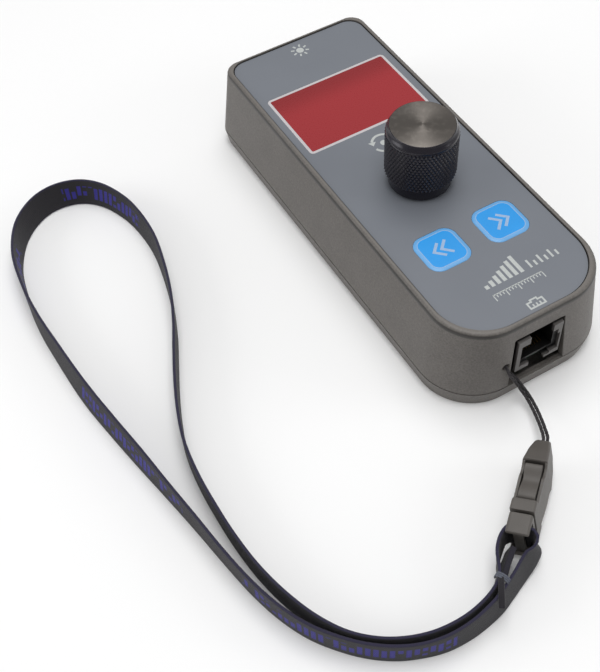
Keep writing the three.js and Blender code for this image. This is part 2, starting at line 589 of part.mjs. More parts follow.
COVER_SCREWS.forEach(([x, y], i) => {
  addPiece(`cover_screw_${i + 1}`, screw(x, y, 2.6, 19, 2.5, 1.8), FINISH.steel);
});
MAIN_SCREWS.forEach(([x, y], i) => {
  addPiece(`main_board_screw_${i + 1}`, screw(x, y, onMain, 4.2), FINISH.steel);
});
FRONT_SCREWS.forEach(([x, y], i) => {
  addPiece(`front_board_screw_${i + 1}`, screw(x, y, FRONT_BOARD_Z - GAP, 27), FINISH.steel);
});

addPiece("tether_cord", tetherCord(), FINISH.cord);
addPiece("buckle_female", female(), FINISH.buckle, buckleLean);
addPiece("buckle_male", male(), FINISH.buckle, buckleLean);
addPiece("buckle_latch_upper", latch(1), FINISH.buckle, buckleLean);
addPiece("buckle_latch_lower", latch(-1), FINISH.buckle, buckleLean);
addPiece("wrist_strap", wristStrap(), FINISH.webbing);

export default controller;
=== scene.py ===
"""Hand controller of a telescope focuser: the visible pieces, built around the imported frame."""

import math
from functools import partial

import bmesh
import bpy
import numpy as np
from bpy.props import FloatProperty, FloatVectorProperty, IntProperty, PointerProperty
from mathutils import Matrix, Vector


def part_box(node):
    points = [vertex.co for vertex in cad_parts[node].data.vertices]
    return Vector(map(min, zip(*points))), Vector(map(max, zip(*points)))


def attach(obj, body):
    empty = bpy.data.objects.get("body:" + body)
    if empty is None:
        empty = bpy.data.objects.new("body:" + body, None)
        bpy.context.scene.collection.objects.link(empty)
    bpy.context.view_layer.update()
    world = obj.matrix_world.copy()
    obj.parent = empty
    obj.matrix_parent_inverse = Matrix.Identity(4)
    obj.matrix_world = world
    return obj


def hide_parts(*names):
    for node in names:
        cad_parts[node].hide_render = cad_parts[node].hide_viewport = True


bl_info = {
    "name": "Focuser hand controller",
    "version": (1, 0, 0),
    "blender": (4, 5, 0),
    "location": "View3D > Sidebar > Controller",
    "description": "Builds the visible pieces of a focuser hand controller around its packed frame",
    "category": "Object",
}

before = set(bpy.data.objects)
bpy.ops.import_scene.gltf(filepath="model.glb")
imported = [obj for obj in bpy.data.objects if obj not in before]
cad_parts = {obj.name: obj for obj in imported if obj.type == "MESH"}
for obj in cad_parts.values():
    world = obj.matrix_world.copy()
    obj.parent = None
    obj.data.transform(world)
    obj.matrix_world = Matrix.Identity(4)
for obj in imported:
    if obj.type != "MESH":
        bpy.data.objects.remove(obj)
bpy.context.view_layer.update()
MM = 0.001


def corners(node):
    """Lowest and highest corner of a CAD node, in millimetres."""
    low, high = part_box(node)
    return np.array(low) / MM, np.array(high) / MM


def srgb(red, green, blue):
    """Linear colour of a shade given on the usual scale of 0 to 255."""
    shade = np.array([red, green, blue]) / 255
    return tuple(np.where(shade <= 0.04045, shade / 12.92, ((shade + 0.055) / 1.055) ** 2.4)) + (1.0,)


# ------------------------------------------------------------------ measures, in millimetres
GAP = 0.3
WALL = 2.2
# The case's outline at the seam, under the rim and over the base's rounded edge.
SEAM = {"z": 6.0, "half": 30.4, "near": -75.3, "far": 75.3, "near_r": 18.2, "far_r": 7.0}
RIM = {"z": 30.8, "half": 27.5, "near": -73.4, "far": 72.45, "near_r": 16.75, "far_r": 5.4}
BASE = {"z": 0.6, "half": 29.4, "near": -74.3, "far": 74.3, "near_r": 17.4, "far_r": 6.2}
RIM_ROUND, BASE_ROUND = 1.4, 0.6
CEILING, FLOOR = 29.0, 2.0
SCREW_HOLE = 1.55
LIP_THICK, LIP_TOP = 1.1, 7.6
PRINT_LOW, PRINT_HIGH = -0.05, 0.015
KEY_RISE, KEY_CORNER = 0.27, 4.1
SHAFT_HOLE, FILM_HOLE, PLUNGER_HOLE = 4.8, 7.2, 2.3
BUCKLE_DEEP = 5.3

OVERLAY_LOW, OVERLAY_HIGH = corners("front_overlay")
OVERLAY_TOP = OVERLAY_HIGH[2]
OVERLAY = {
    "half": OVERLAY_HIGH[0], "near": OVERLAY_LOW[1], "far": OVERLAY_HIGH[1], "near_r": 16.0, "far_r": 5.5,
}
WINDOW_LOW, WINDOW_HIGH = corners("display_window")
KEY_LOW, KEY_HIGH = corners("key_right")
KEY_X, KEY_Y = (KEY_LOW[:2] + KEY_HIGH[:2]) / 2
KEY_SIZE = KEY_HIGH[0] - KEY_LOW[0]
KNOB_LOW, KNOB_HIGH = corners("focus_knob")
KNOB_X, KNOB_Y = (KNOB_LOW[:2] + KNOB_HIGH[:2]) / 2
KNOB_BOTTOM, KNOB_TOP = KNOB_LOW[2], KNOB_HIGH[2]
JACK_LOW, JACK_HIGH = corners("jack_housing")
JACK_X = (JACK_LOW[0] + JACK_HIGH[0]) / 2
BUCKLE = (
    Matrix.Translation((-15.9, -98.9, 8.4))
    @ Matrix.Rotation(math.radians(220), 4, "Z")
    @ Matrix.Rotation(math.radians(12), 4, "X")
)

CORD_ROUTE = [
    (-18.0, -99.9, 8.4), (-16.35, -98.36, 8.4), (-14.1, -96.1, 8.2), (-11.9, -92.4, 6.6),
    (-9.8, -88.0, 4.8), (-8.4, -84.0, 4.0), (-8.0, -80.6, 4.7), (-8.6, -78.0, 6.6), (-9.7, -77.0, 9.2),
    (-11.2, -76.8, 12.2), (-12.3, -76.5, 14.6), (-12.35, -75.2, 15.75), (-12.3, -73.6, 15.8),
    (-12.2, -71.8, 15.4), (-11.5, -70.4, 14.2), (-10.5, -70.1, 12.6), (-9.9, -71.2, 11.3),
    (-9.75, -72.9, 10.7), (-9.5, -74.5, 10.3), (-8.75, -75.9, 9.4), (-7.7, -77.5, 7.0),
    (-6.95, -80.4, 4.9), (-7.35, -84.2, 4.2), (-8.8, -88.5, 4.9), (-10.95, -92.95, 6.7),
    (-13.15, -96.8, 8.3), (-15.5, -99.3, 8.45), (-17.2, -100.85, 8.4),
]
# Middle of the webbing, and the lean in degrees of its top edge to the left of the way it runs.
STRAP_ROUTE = [
    (-37.96, -117.41, 8.4, 0), (-36.95, -118.65, 8.7, 0), (-35.95, -120.3, 9, -4),
    (-36.6, -122.1, 8.2, -10), (-38.9, -123.5, 6.6, -15), (-42.2, -124.9, 5.7, -15),
    (-45.4, -126.3, 5.3, -13), (-48.9, -127.8, 5.15, -12), (-52.6, -129.3, 5.05, -11),
    (-56.8, -130.4, 5, -9), (-63.5, -131.4, 5, -6), (-71, -131.2, 5, -3), (-78.2, -129.3, 5, 0),
    (-84.7, -126.1, 5, 0), (-90.5, -121.7, 5, 0), (-95.6, -116.3, 5, 0), (-100.3, -109.8, 5, 0),
    (-104.1, -101.7, 5, 0), (-107.1, -91.7, 5, 0), (-109.4, -79.6, 5, 0), (-111.4, -66.4, 5, -2),
    (-113.6, -53, 5, -5), (-115.8, -39.5, 5, -10), (-118.2, -25.1, 5, -12), (-120.5, -9, 5, -13),
    (-121.9, 10.9, 5, -9), (-122.4, 24, 5, -5), (-121.5, 38.2, 5, 1), (-118.6, 53, 5, 6),
    (-112, 65, 5, 12), (-103.3, 71.7, 5, 14), (-95.6, 73.2, 5, 14), (-87.8, 71, 5, 13),
    (-82, 65.4, 5, 12), (-77.7, 55.4, 5, 11), (-76.2, 46.4, 5, 9), (-76.2, 34.8, 5, 7),
    (-78.2, 23.2, 5, 5), (-81.7, 10, 5, 3), (-86.3, -2, 5, 1), (-91, -12, 5, 0), (-95.6, -22, 5, 0),
    (-99.7, -32.2, 5, 0), (-102.9, -42.8, 5, 0), (-104.5, -55, 5, 0), (-104.8, -67, 5, 0),
    (-104.5, -78, 5, 0), (-103.2, -89.5, 5, 0), (-100.6, -100.2, 5, 0), (-97, -109.5, 5, 0),
    (-92.4, -116.9, 5, 0), (-86.8, -122.2, 5, 0), (-80.7, -125.8, 5, 0), (-73.5, -128.2, 5, 0),
    (-65.2, -128.9, 5, 0), (-58, -127.9, 5, 0), (-53.4, -126.3, 5.05, 0), (-50.3, -124.5, 5.15, 2),
    (-48.5, -122.1, 5.6, 4), (-47, -119.5, 6.4, 6), (-44.9, -117.2, 7.3, 8), (-42.6, -115.6, 7.9, 6),
    (-40.6, -115.1, 7.75, 3), (-38.97, -116.15, 8.07, 0),
]


# ------------------------------------------------------------------ surfaces
class Surface:
    """Points and faces gathered for one piece, in millimetres."""

    def __init__(self):
        self.points, self.faces, self.slots, self.maps = [], [], [], []
        self.count = 0

    def grid(self, points, around=False, slot=0, uv=None):
        """Quads over a grid of points, each joining four neighbours; `around` closes the columns.
        `slot` is one material index or one for each row of quads, and `uv` a map of the same grid."""
        rows, columns = points.shape[:2]
        i = np.arange(rows - 1)[:, None]
        j = np.arange(columns if around else columns - 1)[None, :]
        k = (j + 1) % columns
        quads = np.stack(
            [i * columns + j, i * columns + k, (i + 1) * columns + k, (i + 1) * columns + j], -1
        )
        flat = quads.reshape(-1, 4)
        self.slots.append(np.repeat(np.broadcast_to(slot, rows - 1), quads.shape[1]))
        self.maps.append(np.zeros((flat.size, 2)) if uv is None else uv.reshape(-1, 2)[flat].reshape(-1, 2))
        self.faces += (flat + self.count).tolist()
        self.points.append(points.reshape(-1, 3))
        self.count += rows * columns
        return self

    def cap(self, ring, slot=0):
        """One flat face over a closed ring of points."""
        self.points.append(ring)
        self.faces.append(list(range(self.count, self.count + len(ring))))
        self.slots.append(np.array([slot]))
        self.maps.append(np.zeros((len(ring), 2)))
        self.count += len(ring)
        return self

    def skin(self, rings, slot=0):
        """Closed solid through rings of equal point count, with a flat face on the first and last."""
        rings = np.asarray(rings)
        last = slot if np.isscalar(slot) else slot[-1]
        first = slot if np.isscalar(slot) else slot[0]
        return self.grid(rings, True, slot).cap(rings[0], first).cap(rings[-1], last)

    def piece(self, name, looks=(), weld=1e-4):
        """The mesh object: doubles merged, faces outwards."""
        mesh = bpy.data.meshes.new(name)
        for look in looks:
            mesh.materials.append(look)
        points = np.concatenate(self.points)
        mesh.from_pydata((points * MM).tolist(), [], self.faces)
        mesh.polygons.foreach_set("material_index", np.concatenate(self.slots).astype(np.int32))
        layer = mesh.uv_layers.new(name="surface")
        layer.data.foreach_set("uv", np.concatenate(self.maps).astype(np.float32).ravel())
        edit = bmesh.new()
        edit.from_mesh(mesh)
        bmesh.ops.remove_doubles(edit, verts=edit.verts, dist=weld * MM)
        bmesh.ops.dissolve_degenerate(edit, edges=edit.edges, dist=weld * MM)
        bmesh.ops.recalc_face_normals(edit, faces=edit.faces)
        edit.to_mesh(mesh)
        edit.free()
        thing = bpy.data.objects.new(name, mesh)
        bpy.context.scene.collection.objects.link(thing)
        return thing


def settle(thing):
    """Makes the object's modifiers part of its mesh."""
    graph = bpy.context.evaluated_depsgraph_get()
    final = bpy.data.meshes.new_from_object(
        thing.evaluated_get(graph), preserve_all_data_layers=True, depsgraph=graph
    )
    old = thing.data
    thing.modifiers.clear()
    thing.data = final
    bpy.data.meshes.remove(old)
    final.name = thing.name
    return thing


def combine(thing, others, operation="DIFFERENCE"):
    """Cuts the other solids out of the piece, or joins them to it, and removes them."""
    for other in others:
        step = thing.modifiers.new("step", "BOOLEAN")
        step.operation, step.object, step.solver = operation, other, "EXACT"
    settle(thing)
    for other in others:
        mesh = other.data
        bpy.data.objects.remove(other)
        bpy.data.meshes.remove(mesh)
    return thing


def soften(thing, width, segments=2, angle=40):
    """Rounds the edges that turn by more than an angle."""
    step = thing.modifiers.new("edges", "BEVEL")
    step.width, step.segments, step.limit_method = width * MM, segments, "ANGLE"
    step.angle_limit, step.harden_normals = math.radians(angle), False
    return settle(thing)


def put(thing, place):
    """Moves the piece's mesh to its place, a matrix in millimetres."""
    move = place.copy()
    move.translation = place.translation * MM
    thing.data.transform(move)
    return thing


def dress(thing, body, look, nodes=(), sharp=32, weighted=True):
    """Shades the piece, gives it its finish, and lets it ride on its body in its nodes' stead."""
    thing.data.shade_smooth()
    thing.data.set_sharp_from_angle(angle=math.radians(sharp))
    if weighted:
        step = thing.modifiers.new("normals", "WEIGHTED_NORMAL")
        step.keep_sharp = True
        settle(thing)
    if look:
        thing.data.materials.append(look)
    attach(thing, body)
    if nodes:
        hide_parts(*nodes)
    return thing


# ------------------------------------------------------------------ outlines and paths
def plate(half, near, far, near_r, far_r, arc_steps=20, side_steps=8):
    """Outline of a rectangle with rounded corners, anticlockwise. Each corner is a quarter circle whose
    centre lies its radius inside both sides; the sides between are shared out evenly."""
    centres = [
        (-half + near_r, near + near_r, near_r, 180), (half - near_r, near + near_r, near_r, 270),
        (half - far_r, far - far_r, far_r, 0), (-half + far_r, far - far_r, far_r, 90),
    ]
    turn = np.linspace(0, 90, arc_steps + 1)
    arcs = [
        np.stack([x + r * np.cos(np.radians(start + turn)), y + r * np.sin(np.radians(start + turn))], -1)
        for x, y, r, start in centres
    ]
    share = np.linspace(0, 1, side_steps + 1)[1:-1, None]
    parts = []
    for arc, after in zip(arcs, arcs[1:] + arcs[:1]):
        parts += [arc, arc[-1] + (after[0] - arc[-1]) * share]
    return np.concatenate(parts)


def inset_plate(size, inset, **steps):
    """The rounded rectangle of `size` drawn in by `inset` all round."""
    return plate(
        size["half"] - inset, size["near"] + inset, size["far"] - inset,
        max(size["near_r"] - inset, 0.3), max(size["far_r"] - inset, 0.3), **steps,
    )


def between(low, high, z):
    """The case's outline sizes at a height between two stations, in a straight line."""
    share = (z - low["z"]) / (high["z"] - low["z"])
    return {key: low[key] + (high[key] - low[key]) * share for key in low}


def raised(outline, z):
    """A flat outline at a height."""
    return np.column_stack([outline, np.full(len(outline), z)])


def case_ring(low, high, z, inset, drawn=None):
    """The case's outline at a height between two stations, drawn in, and put at another height if given."""
    return raised(inset_plate(between(low, high, z), inset), z if drawn is None else drawn)


def circle(radius, x=0.0, y=0.0, steps=48):
    """Points evenly round a circle."""
    turn = np.linspace(0, 2 * np.pi, steps, endpoint=False)
    return np.stack([x + radius * np.cos(turn), y + radius * np.sin(turn)], -1)


def prism(outline, z0, z1):
    """Solid of a flat outline between two heights."""
    return Surface().skin([raised(outline, z0), raised(outline, z1)])


def block(x0, x1, y0, y1, z0, z1):
    """Plain box, to cut out of a piece or join to it."""
    return prism(np.array([(x0, y0), (x1, y0), (x1, y1), (x0, y1)]), z0, z1).piece("block")


def bore(outline, y0, y1):
    """Solid of an outline in x and z between two values of y, to cut out of a piece."""
    rings = [np.column_stack([outline[:, 0], np.full(len(outline), y), outline[:, 1]]) for y in (y0, y1)]
    return Surface().skin(rings).piece("bore")


def curve(points, step, closed=False):
    """Centripetal Catmull-Rom curve through the points, sampled evenly along its length.
    Each span blends its four neighbouring points by the Barry-Goldman pyramid, with knots spaced by the
    square root of the distance between points."""
    points = np.asarray(points, float)
    if closed:
        p = np.concatenate([points[-1:], points, points[:2]])
    else:
        p = np.concatenate([[2 * points[0] - points[1]], points, [2 * points[-1] - points[-2]]])
    p0, p1, p2, p3 = p[:-3, None], p[1:-2, None], p[2:-1, None], p[3:, None]
    gap = [np.linalg.norm(b - a, axis=-1, keepdims=True) ** 0.5 for a, b in ((p0, p1), (p1, p2), (p2, p3))]
    t0 = np.zeros_like(gap[0])
    t1, t2, t3 = gap[0], gap[0] + gap[1], gap[0] + gap[1] + gap[2]
    t = t1 + (t2 - t1) * np.linspace(0, 1, 41)[None, :, None]
    a1 = ((t1 - t) * p0 + (t - t0) * p1) / (t1 - t0)
    a2 = ((t2 - t) * p1 + (t - t1) * p2) / (t2 - t1)
    a3 = ((t3 - t) * p2 + (t - t2) * p3) / (t3 - t2)
    b1 = ((t2 - t) * a1 + (t - t0) * a2) / (t2 - t0)
    b2 = ((t3 - t) * a2 + (t - t1) * a3) / (t3 - t1)
    dense = ((t2 - t) * b1 + (t - t1) * b2) / (t2 - t1)
    line = np.concatenate([dense[:, :-1].reshape(-1, points.shape[1]), dense[-1, -1:]])
    run = np.concatenate([[0], np.cumsum(np.linalg.norm(np.diff(line, axis=0), axis=1))])
    even = np.linspace(0, run[-1], max(int(round(run[-1] / step)), 4) + 1)
    return np.stack([np.interp(even, run, line[:, axis]) for axis in range(points.shape[1])], -1), even


def unit(vectors):
    """Vectors of length one."""
    return vectors / np.linalg.norm(vectors, axis=-1, keepdims=True)


def tangents(path, closed=False):
    """Direction of a path at each point, from its two neighbours."""
    if closed:
        inner = path[:-1]
        along = np.roll(inner, -1, 0) - np.roll(inner, 1, 0)
        return unit(np.concatenate([along, along[:1]]))
    return unit(np.gradient(path, axis=0))


def lay_ribbon(surface, path, run, up, width, thick, closed=False, corner=0.3, steps=10):
    """Flat webbing along a path: a rounded oblong, `thick` across and `width` high, carried along it.
    `up` is the width's direction at each point; the thickness lies square to it and to the path.
    The map's first coordinate is the distance along, the second the way round, both in metres."""
    along = tangents(path, closed)
    up = unit(up - np.sum(up * along, -1, keepdims=True) * along)
    side = np.cross(along, up)
    rise = np.linspace(-width / 2 + corner, width / 2 - corner, steps + 1)
    bend = np.radians(np.linspace(0, 90, 4)[1:-1])
    edge_in, edge_up = corner * (1 - np.cos(bend)), corner * np.sin(bend)
    half = thick / 2
    top = width / 2 - corner
    across = np.concatenate([
        np.full(steps + 1, half), half - edge_in, [half - corner], [corner - half], edge_in[::-1] - half,
        np.full(steps + 1, -half), edge_in - half, [corner - half], [half - corner], half - edge_in[::-1],
        [half],
    ])
    height = np.concatenate([
        rise, top + edge_up, [top + corner], [top + corner], top + edge_up[::-1],
        rise[::-1], -top - edge_up, [-top - corner], [-top - corner], -top - edge_up[::-1], [rise[0]],
    ])
    grid = path[:, None] + side[:, None] * across[None, :, None] + up[:, None] * height[None, :, None]
    mapped = np.stack(np.broadcast_arrays(run[:, None], height[None, :]), -1) * MM
    surface.grid(grid, uv=mapped)
    return surface if closed else surface.cap(grid[0, :-1]).cap(grid[-1, :-1])


def lay_tube(surface, path, run, radius, sides, ridge, pitch):
    """Round cord along a path. Two families of ridges wind opposite ways round it, one turn to each
    pitch, and the radius grows by `ridge` where either is at its crest."""
    along = tangents(path)
    guide = np.where(np.abs(along[:, 2:3]) > 0.9, [[1.0, 0, 0]], [[0, 0, 1.0]])
    first = unit(np.cross(along, guide))
    second = np.cross(along, first)
    turn = np.linspace(0, 2 * np.pi, sides + 1)
    wind = 2 * np.pi * run[:, None] / pitch
    crest = np.maximum(np.cos(3 * turn[None, :] + wind), np.cos(3 * turn[None, :] - wind))
    reach = (radius + ridge * (crest - 0.4))[..., None]
    ring = first[:, None] * np.cos(turn)[None, :, None] + second[:, None] * np.sin(turn)[None, :, None]
    grid = path[:, None] + ring * reach
    mapped = np.stack(np.broadcast_arrays(run[:, None] * MM, turn[None, :] / (2 * np.pi)), -1)
    return surface.grid(grid, uv=mapped).cap(grid[0, :-1]).cap(grid[-1, :-1])


# ------------------------------------------------------------------ finishes
def math_node(operation, reflected=False):
    """Method that adds one Math node on a number and what it is given, or the other way round."""

    def method(self, *others):
        values = (*others, self) if reflected else (self, *others)
        return self.look.node("Math", {"operation": operation}, dict(enumerate(values)))

    return method


class Number:
    """A number in a material's nodes. Python's operators on it add Math nodes."""

    def __init__(self, look, socket):
        self.look, self.socket = look, socket

    __add__ = __radd__ = math_node("ADD")
    __mul__ = __rmul__ = math_node("MULTIPLY")
    __sub__, __rsub__ = math_node("SUBTRACT"), math_node("SUBTRACT", reflected=True)
    __truediv__, __abs__ = math_node("DIVIDE"), math_node("ABSOLUTE")
    __gt__, __lt__ = math_node("GREATER_THAN"), math_node("LESS_THAN")
    sine, cosine, root = math_node("SINE"), math_node("COSINE"), math_node("SQRT")
    whole, fraction, larger = math_node("FLOOR"), math_node("FRACT"), math_node("MAXIMUM")

    def within(self, low, high):
        """0 below `low`, 1 above `high`, and a smooth step between."""
        return self.look.node(
            "MapRange", {"interpolation_type": "SMOOTHSTEP"}, {0: self, 1: low, 2: high, 3: 0.0, 4: 1.0}
        )


class Look:
    """A material being made."""

    def __init__(self, name):
        self.material = bpy.data.materials.new(name)
        self.material.use_nodes = True
        self.tree = self.material.node_tree
        self.tree.nodes.clear()

    def node(self, kind, settings=None, sockets=None, output=0):
        """Adds a node: its settings first, then the values or links of its sockets."""
        made = self.tree.nodes.new("ShaderNode" + kind)
        settings = dict(settings or {})
        stops = settings.pop("stops", None)
        for key, value in settings.items():
            setattr(made, key, value)
        if stops:
            ramp = made.color_ramp
            while len(ramp.elements) < len(stops):
                ramp.elements.new(0.5)
            for element, (position, colour) in zip(ramp.elements, stops):
                element.position, element.color = position, colour
        for key, value in (sockets or {}).items():
            if isinstance(value, Number):
                self.tree.links.new(value.socket, made.inputs[key])
            else:
                made.inputs[key].default_value = value
        return Number(self, made.outputs[output]) if made.outputs else None

    def place(self, output="Object", scale=(1, 1, 1), location=(0, 0, 0)):
        """Coordinates of the surface, scaled about a point."""
        spot = self.node("TexCoord", output=output)
        return self.node("Mapping", {}, {"Vector": spot, "Scale": scale, "Location": location})

    def axes(self, vector):
        """The three numbers of a vector."""
        first = self.node("SeparateXYZ", {}, {0: vector})
        return [Number(self, socket) for socket in first.socket.node.outputs]

    def noise(self, size, vector=None, detail=2.0, roughness=0.5):
        """Soft noise from 0 to 1 with features of about `size` metres."""
        sockets = {"Scale": 1 / size, "Detail": detail, "Roughness": roughness}
        sockets["Vector"] = vector or self.place()
        return self.node("TexNoise", {}, sockets)

    def mix(self, factor, first, second):
        """Colour between two others."""
        return self.node("Mix", {"data_type": "RGBA"}, {0: factor, 6: first, 7: second}, output=2)

    def bump(self, height, depth, strength=1.0, normal=None):
        """Normal of a surface raised by `height` times `depth` metres."""
        sockets = {"Height": height, "Distance": depth, "Strength": strength}
        if normal:
            sockets["Normal"] = normal
        return self.node("Bump", {}, sockets)

    def done(self, **sockets):
        """Ends the material in one Principled shader with these sockets."""
        named = {key.replace("_", " "): value for key, value in sockets.items()}
        shader = self.node("BsdfPrincipled", {}, named)
        self.node("OutputMaterial", {}, {"Surface": shader})
        return self.material


def shade(colour, factor):
    """A colour made lighter or darker."""
    return tuple(min(part * factor, 1.0) for part in tuple(colour)[:3]) + (1.0,)


def moulded(name, colour, roughness, grain=0.0004, depth=0.00003, blotch=0.05):
    """Moulded plastic: an even shade with faint blotches, and the mould's fine grain as bumps."""
    look = Look(name)
    texture = look.noise(grain, detail=3.0, roughness=0.6)
    cloud = look.noise(0.007).within(0.3, 0.7)
    return look.done(
        Base_Color=look.mix(cloud, shade(colour, 1 - blotch), shade(colour, 1 + blotch)),
        Roughness=texture * 0.16 + (roughness - 0.08),
        Normal=look.bump(texture, depth),
    )


def case_plastic(case):
    """The case's textured plastic: grain and blotches, a smoother band round the rim's rounded edge painted
    darker as shade, and a painted highlight over the rim's top."""
    look = Look("textured case plastic")
    texture = look.noise(case.grain, detail=4.0, roughness=0.62)
    coarse = look.noise(case.grain * 4, detail=2.0)
    cloud = look.noise(0.009, detail=3.0).within(0.3, 0.7)
    speckle = look.noise(case.grain * 1.3, detail=2.0, roughness=0.6)
    height = look.axes(look.place())[2]
    # Band round the rim's rounded edge: smoother, and its colour painted darker as shade.
    rim = height.within(0.0301, 0.0308) * (1 - height.within(0.0314, 0.0319))
    # Painted highlight: the colour is made paler over the rim's top and its inner edge.
    painted_rim_highlight = height.within(0.0319, 0.0322)
    tone = look.mix(cloud, shade(case.plastic, 0.95), shade(case.plastic, 1.05))
    tone = look.mix(speckle.within(0.5, 0.7) * 0.5, tone, shade(case.plastic, 1.45))
    tone = look.mix((1 - speckle.within(0.3, 0.5)) * 0.5, tone, shade(case.plastic, 0.62))
    # Painted shade along the rim's rounded edge.
    tone = look.mix(rim * 0.85, tone, shade(case.plastic, 0.16))
    # Painted highlight over the rim's top.
    tone = look.mix(painted_rim_highlight * 0.5, tone, shade(case.plastic, 1.45))
    relief = texture * 0.7 + coarse * 0.3
    return look.done(
        Base_Color=tone,
        Roughness=texture * 0.2 + 0.42 - rim * 0.12,
        Normal=look.bump(relief, case.grain * 0.09),
    )


def socket_plastic(jack, front):
    """The jack's plastic: an even colour on its face, with painted shade falling to black inside its mouth.
    """
    look = Look("jack plastic")
    texture = look.noise(0.0004, detail=3.0)
    # Painted shade: the colour falls to black with depth into the jack's mouth.
    inside = look.axes(look.place())[1].within((front + 0.5) * MM, (front + 1.25) * MM)
    tone = look.mix(texture, shade(jack.colour, 0.94), shade(jack.colour, 1.06))
    return look.done(
        # Painted shade inside the mouth.
        Base_Color=look.mix(inside, tone, shade(jack.colour, 0.02)),
        Roughness=texture * 0.1 + 0.4,
        Normal=look.bump(texture, 0.00001),
    )


def overlay_film(front):
    """Satin printed film: faint waviness, fine matt texture, and a soft unevenness of tone."""
    look = Look("satin front film")
    wave = look.noise(0.02, detail=1.0)
    matt = look.noise(0.00025, detail=2.0)
    cloud = look.noise(0.03, detail=2.0).within(0.25, 0.75)
    normal = look.bump(wave, 0.00006)
    return look.done(
        Base_Color=look.mix(cloud, shade(front.film, 0.97), shade(front.film, 1.03)),
        Roughness=matt * 0.1 + 0.3,
        Normal=look.bump(matt, 0.000004, normal=normal),
        Specular_IOR_Level=0.3,
    )


def ink(name, colour):
    """Screen-printed ink: slightly uneven cover and a matt surface."""
    look = Look(name)
    cover = look.noise(0.0006, detail=3.0).within(0.3, 0.75)
    return look.done(
        Base_Color=look.mix(cover, shade(colour, 0.9), colour),
        Roughness=cover * 0.1 + 0.42,
        Normal=look.bump(cover, 0.000003),
    )


def red_filter(front):
    """Red filter sheet before the display: deep colour, a shade darker in broad clouds, with painted shade
    darkening it towards its far end, under gloss.
    """
    look = Look("red filter")
    cloud = look.noise(0.05, detail=1.0).within(0.2, 0.8)
    # Painted shade: the colour darkens towards the window's far end.
    far_end_painted_shade = look.axes(look.place())[1].within(0.036, 0.046)
    fine = look.noise(0.0003, detail=2.0)
    return look.done(
        Base_Color=look.mix(
            far_end_painted_shade, look.mix(cloud, shade(front.filter, 0.95), shade(front.filter, 1.05)),
            shade(front.filter, 0.78),
        ),
        Roughness=fine * 0.08 + 0.24,
        Normal=look.bump(fine, 0.000002),
        Specular_IOR_Level=0.3,
    )


def anodised(name, colour, roughness, swirl=0.0):
    """Anodised aluminium, turned: fine rings round the upright axis of the knob, and light wear."""
    look = Look(name)
    x, y, _ = look.axes(look.place(location=(-KNOB_X * MM, -KNOB_Y * MM, 0)))
    reach = (x * x + y * y).root()
    rings = (reach * 52000).sine() * 0.5 + (reach * 23700).sine() * 0.5
    wear = look.noise(0.0016, detail=4.0).within(0.45, 0.8)
    return look.done(
        Base_Color=look.mix(wear, shade(colour, 0.88), shade(colour, 1.15)),
        Metallic=0.92 if swirl else 0.3,
        Specular_IOR_Level=0.5 if swirl else 0.65,
        Roughness=wear * 0.06 + roughness,
        Anisotropic=swirl,
        Anisotropic_Rotation=0.25,
        Normal=look.bump(rings, 0.0000012 if swirl else 0.0000004),
    )


def metal(name, colour, roughness):
    """Plated metal with fine drawn scratches and dull patches."""
    look = Look(name)
    scratch = look.noise(0.0005, look.place(scale=(1, 12, 1)), detail=3.0)
    dull = look.noise(0.003, detail=3.0).within(0.4, 0.7)
    return look.done(
        Base_Color=look.mix(dull, shade(colour, 0.85), colour),
        Metallic=0.95,
        Roughness=dull * 0.15 + roughness,
        Normal=look.bump(scratch, 0.000004),
    )


def solder_mask():
    """Circuit board: green lacquer over faint tracks that run in both directions."""
    look = Look("solder mask")
    x, y, _ = look.axes(look.place())
    along = ((x * 390).fraction() < 0.42) * (look.noise(0.006).within(0.48, 0.52))
    across = ((y * 390).fraction() < 0.42) * (1 - look.noise(0.008).within(0.46, 0.5))
    track = along.larger(across)
    return look.done(
        Base_Color=look.mix(track, srgb(16, 44, 32), srgb(26, 66, 46)),
        Roughness=track * 0.06 + 0.32,
        Normal=look.bump(track, 0.00003),
    )


def braid(cord):
    """Braided cord: strands that wind both ways round it, with painted shade between them and a painted
    highlight on their crests, by its own map.
    """
    look = Look("braided cord")
    along, round_it, _ = look.axes(look.node("UVMap", {"uv_map": "surface"}))
    wind = along * (2 * math.pi / (cord.pitch * MM))
    turn = round_it * (2 * math.pi * 3)
    crest = (turn + wind).cosine().larger((turn - wind).cosine())
    hair = look.noise(0.00012, detail=2.0)
    # Painted shade between the strands and painted highlight on their crests.
    tone = look.mix(crest.within(-0.2, 0.9), shade(cord.colour, 0.35), shade(cord.colour, 1.3))
    return look.done(
        Base_Color=look.mix(hair.within(0.5, 0.8) * 0.4, tone, shade(cord.colour, 2.2)),
        Roughness=0.85,
        Normal=look.bump(crest * 0.6 + hair * 0.4, 0.00006),
    )


# Stretches of the webbing that carry woven marks, in metres along it from the buckle.
MARKED = ((0.040, 0.103), (0.131, 0.184), (0.222, 0.25), (0.28, 0.315))


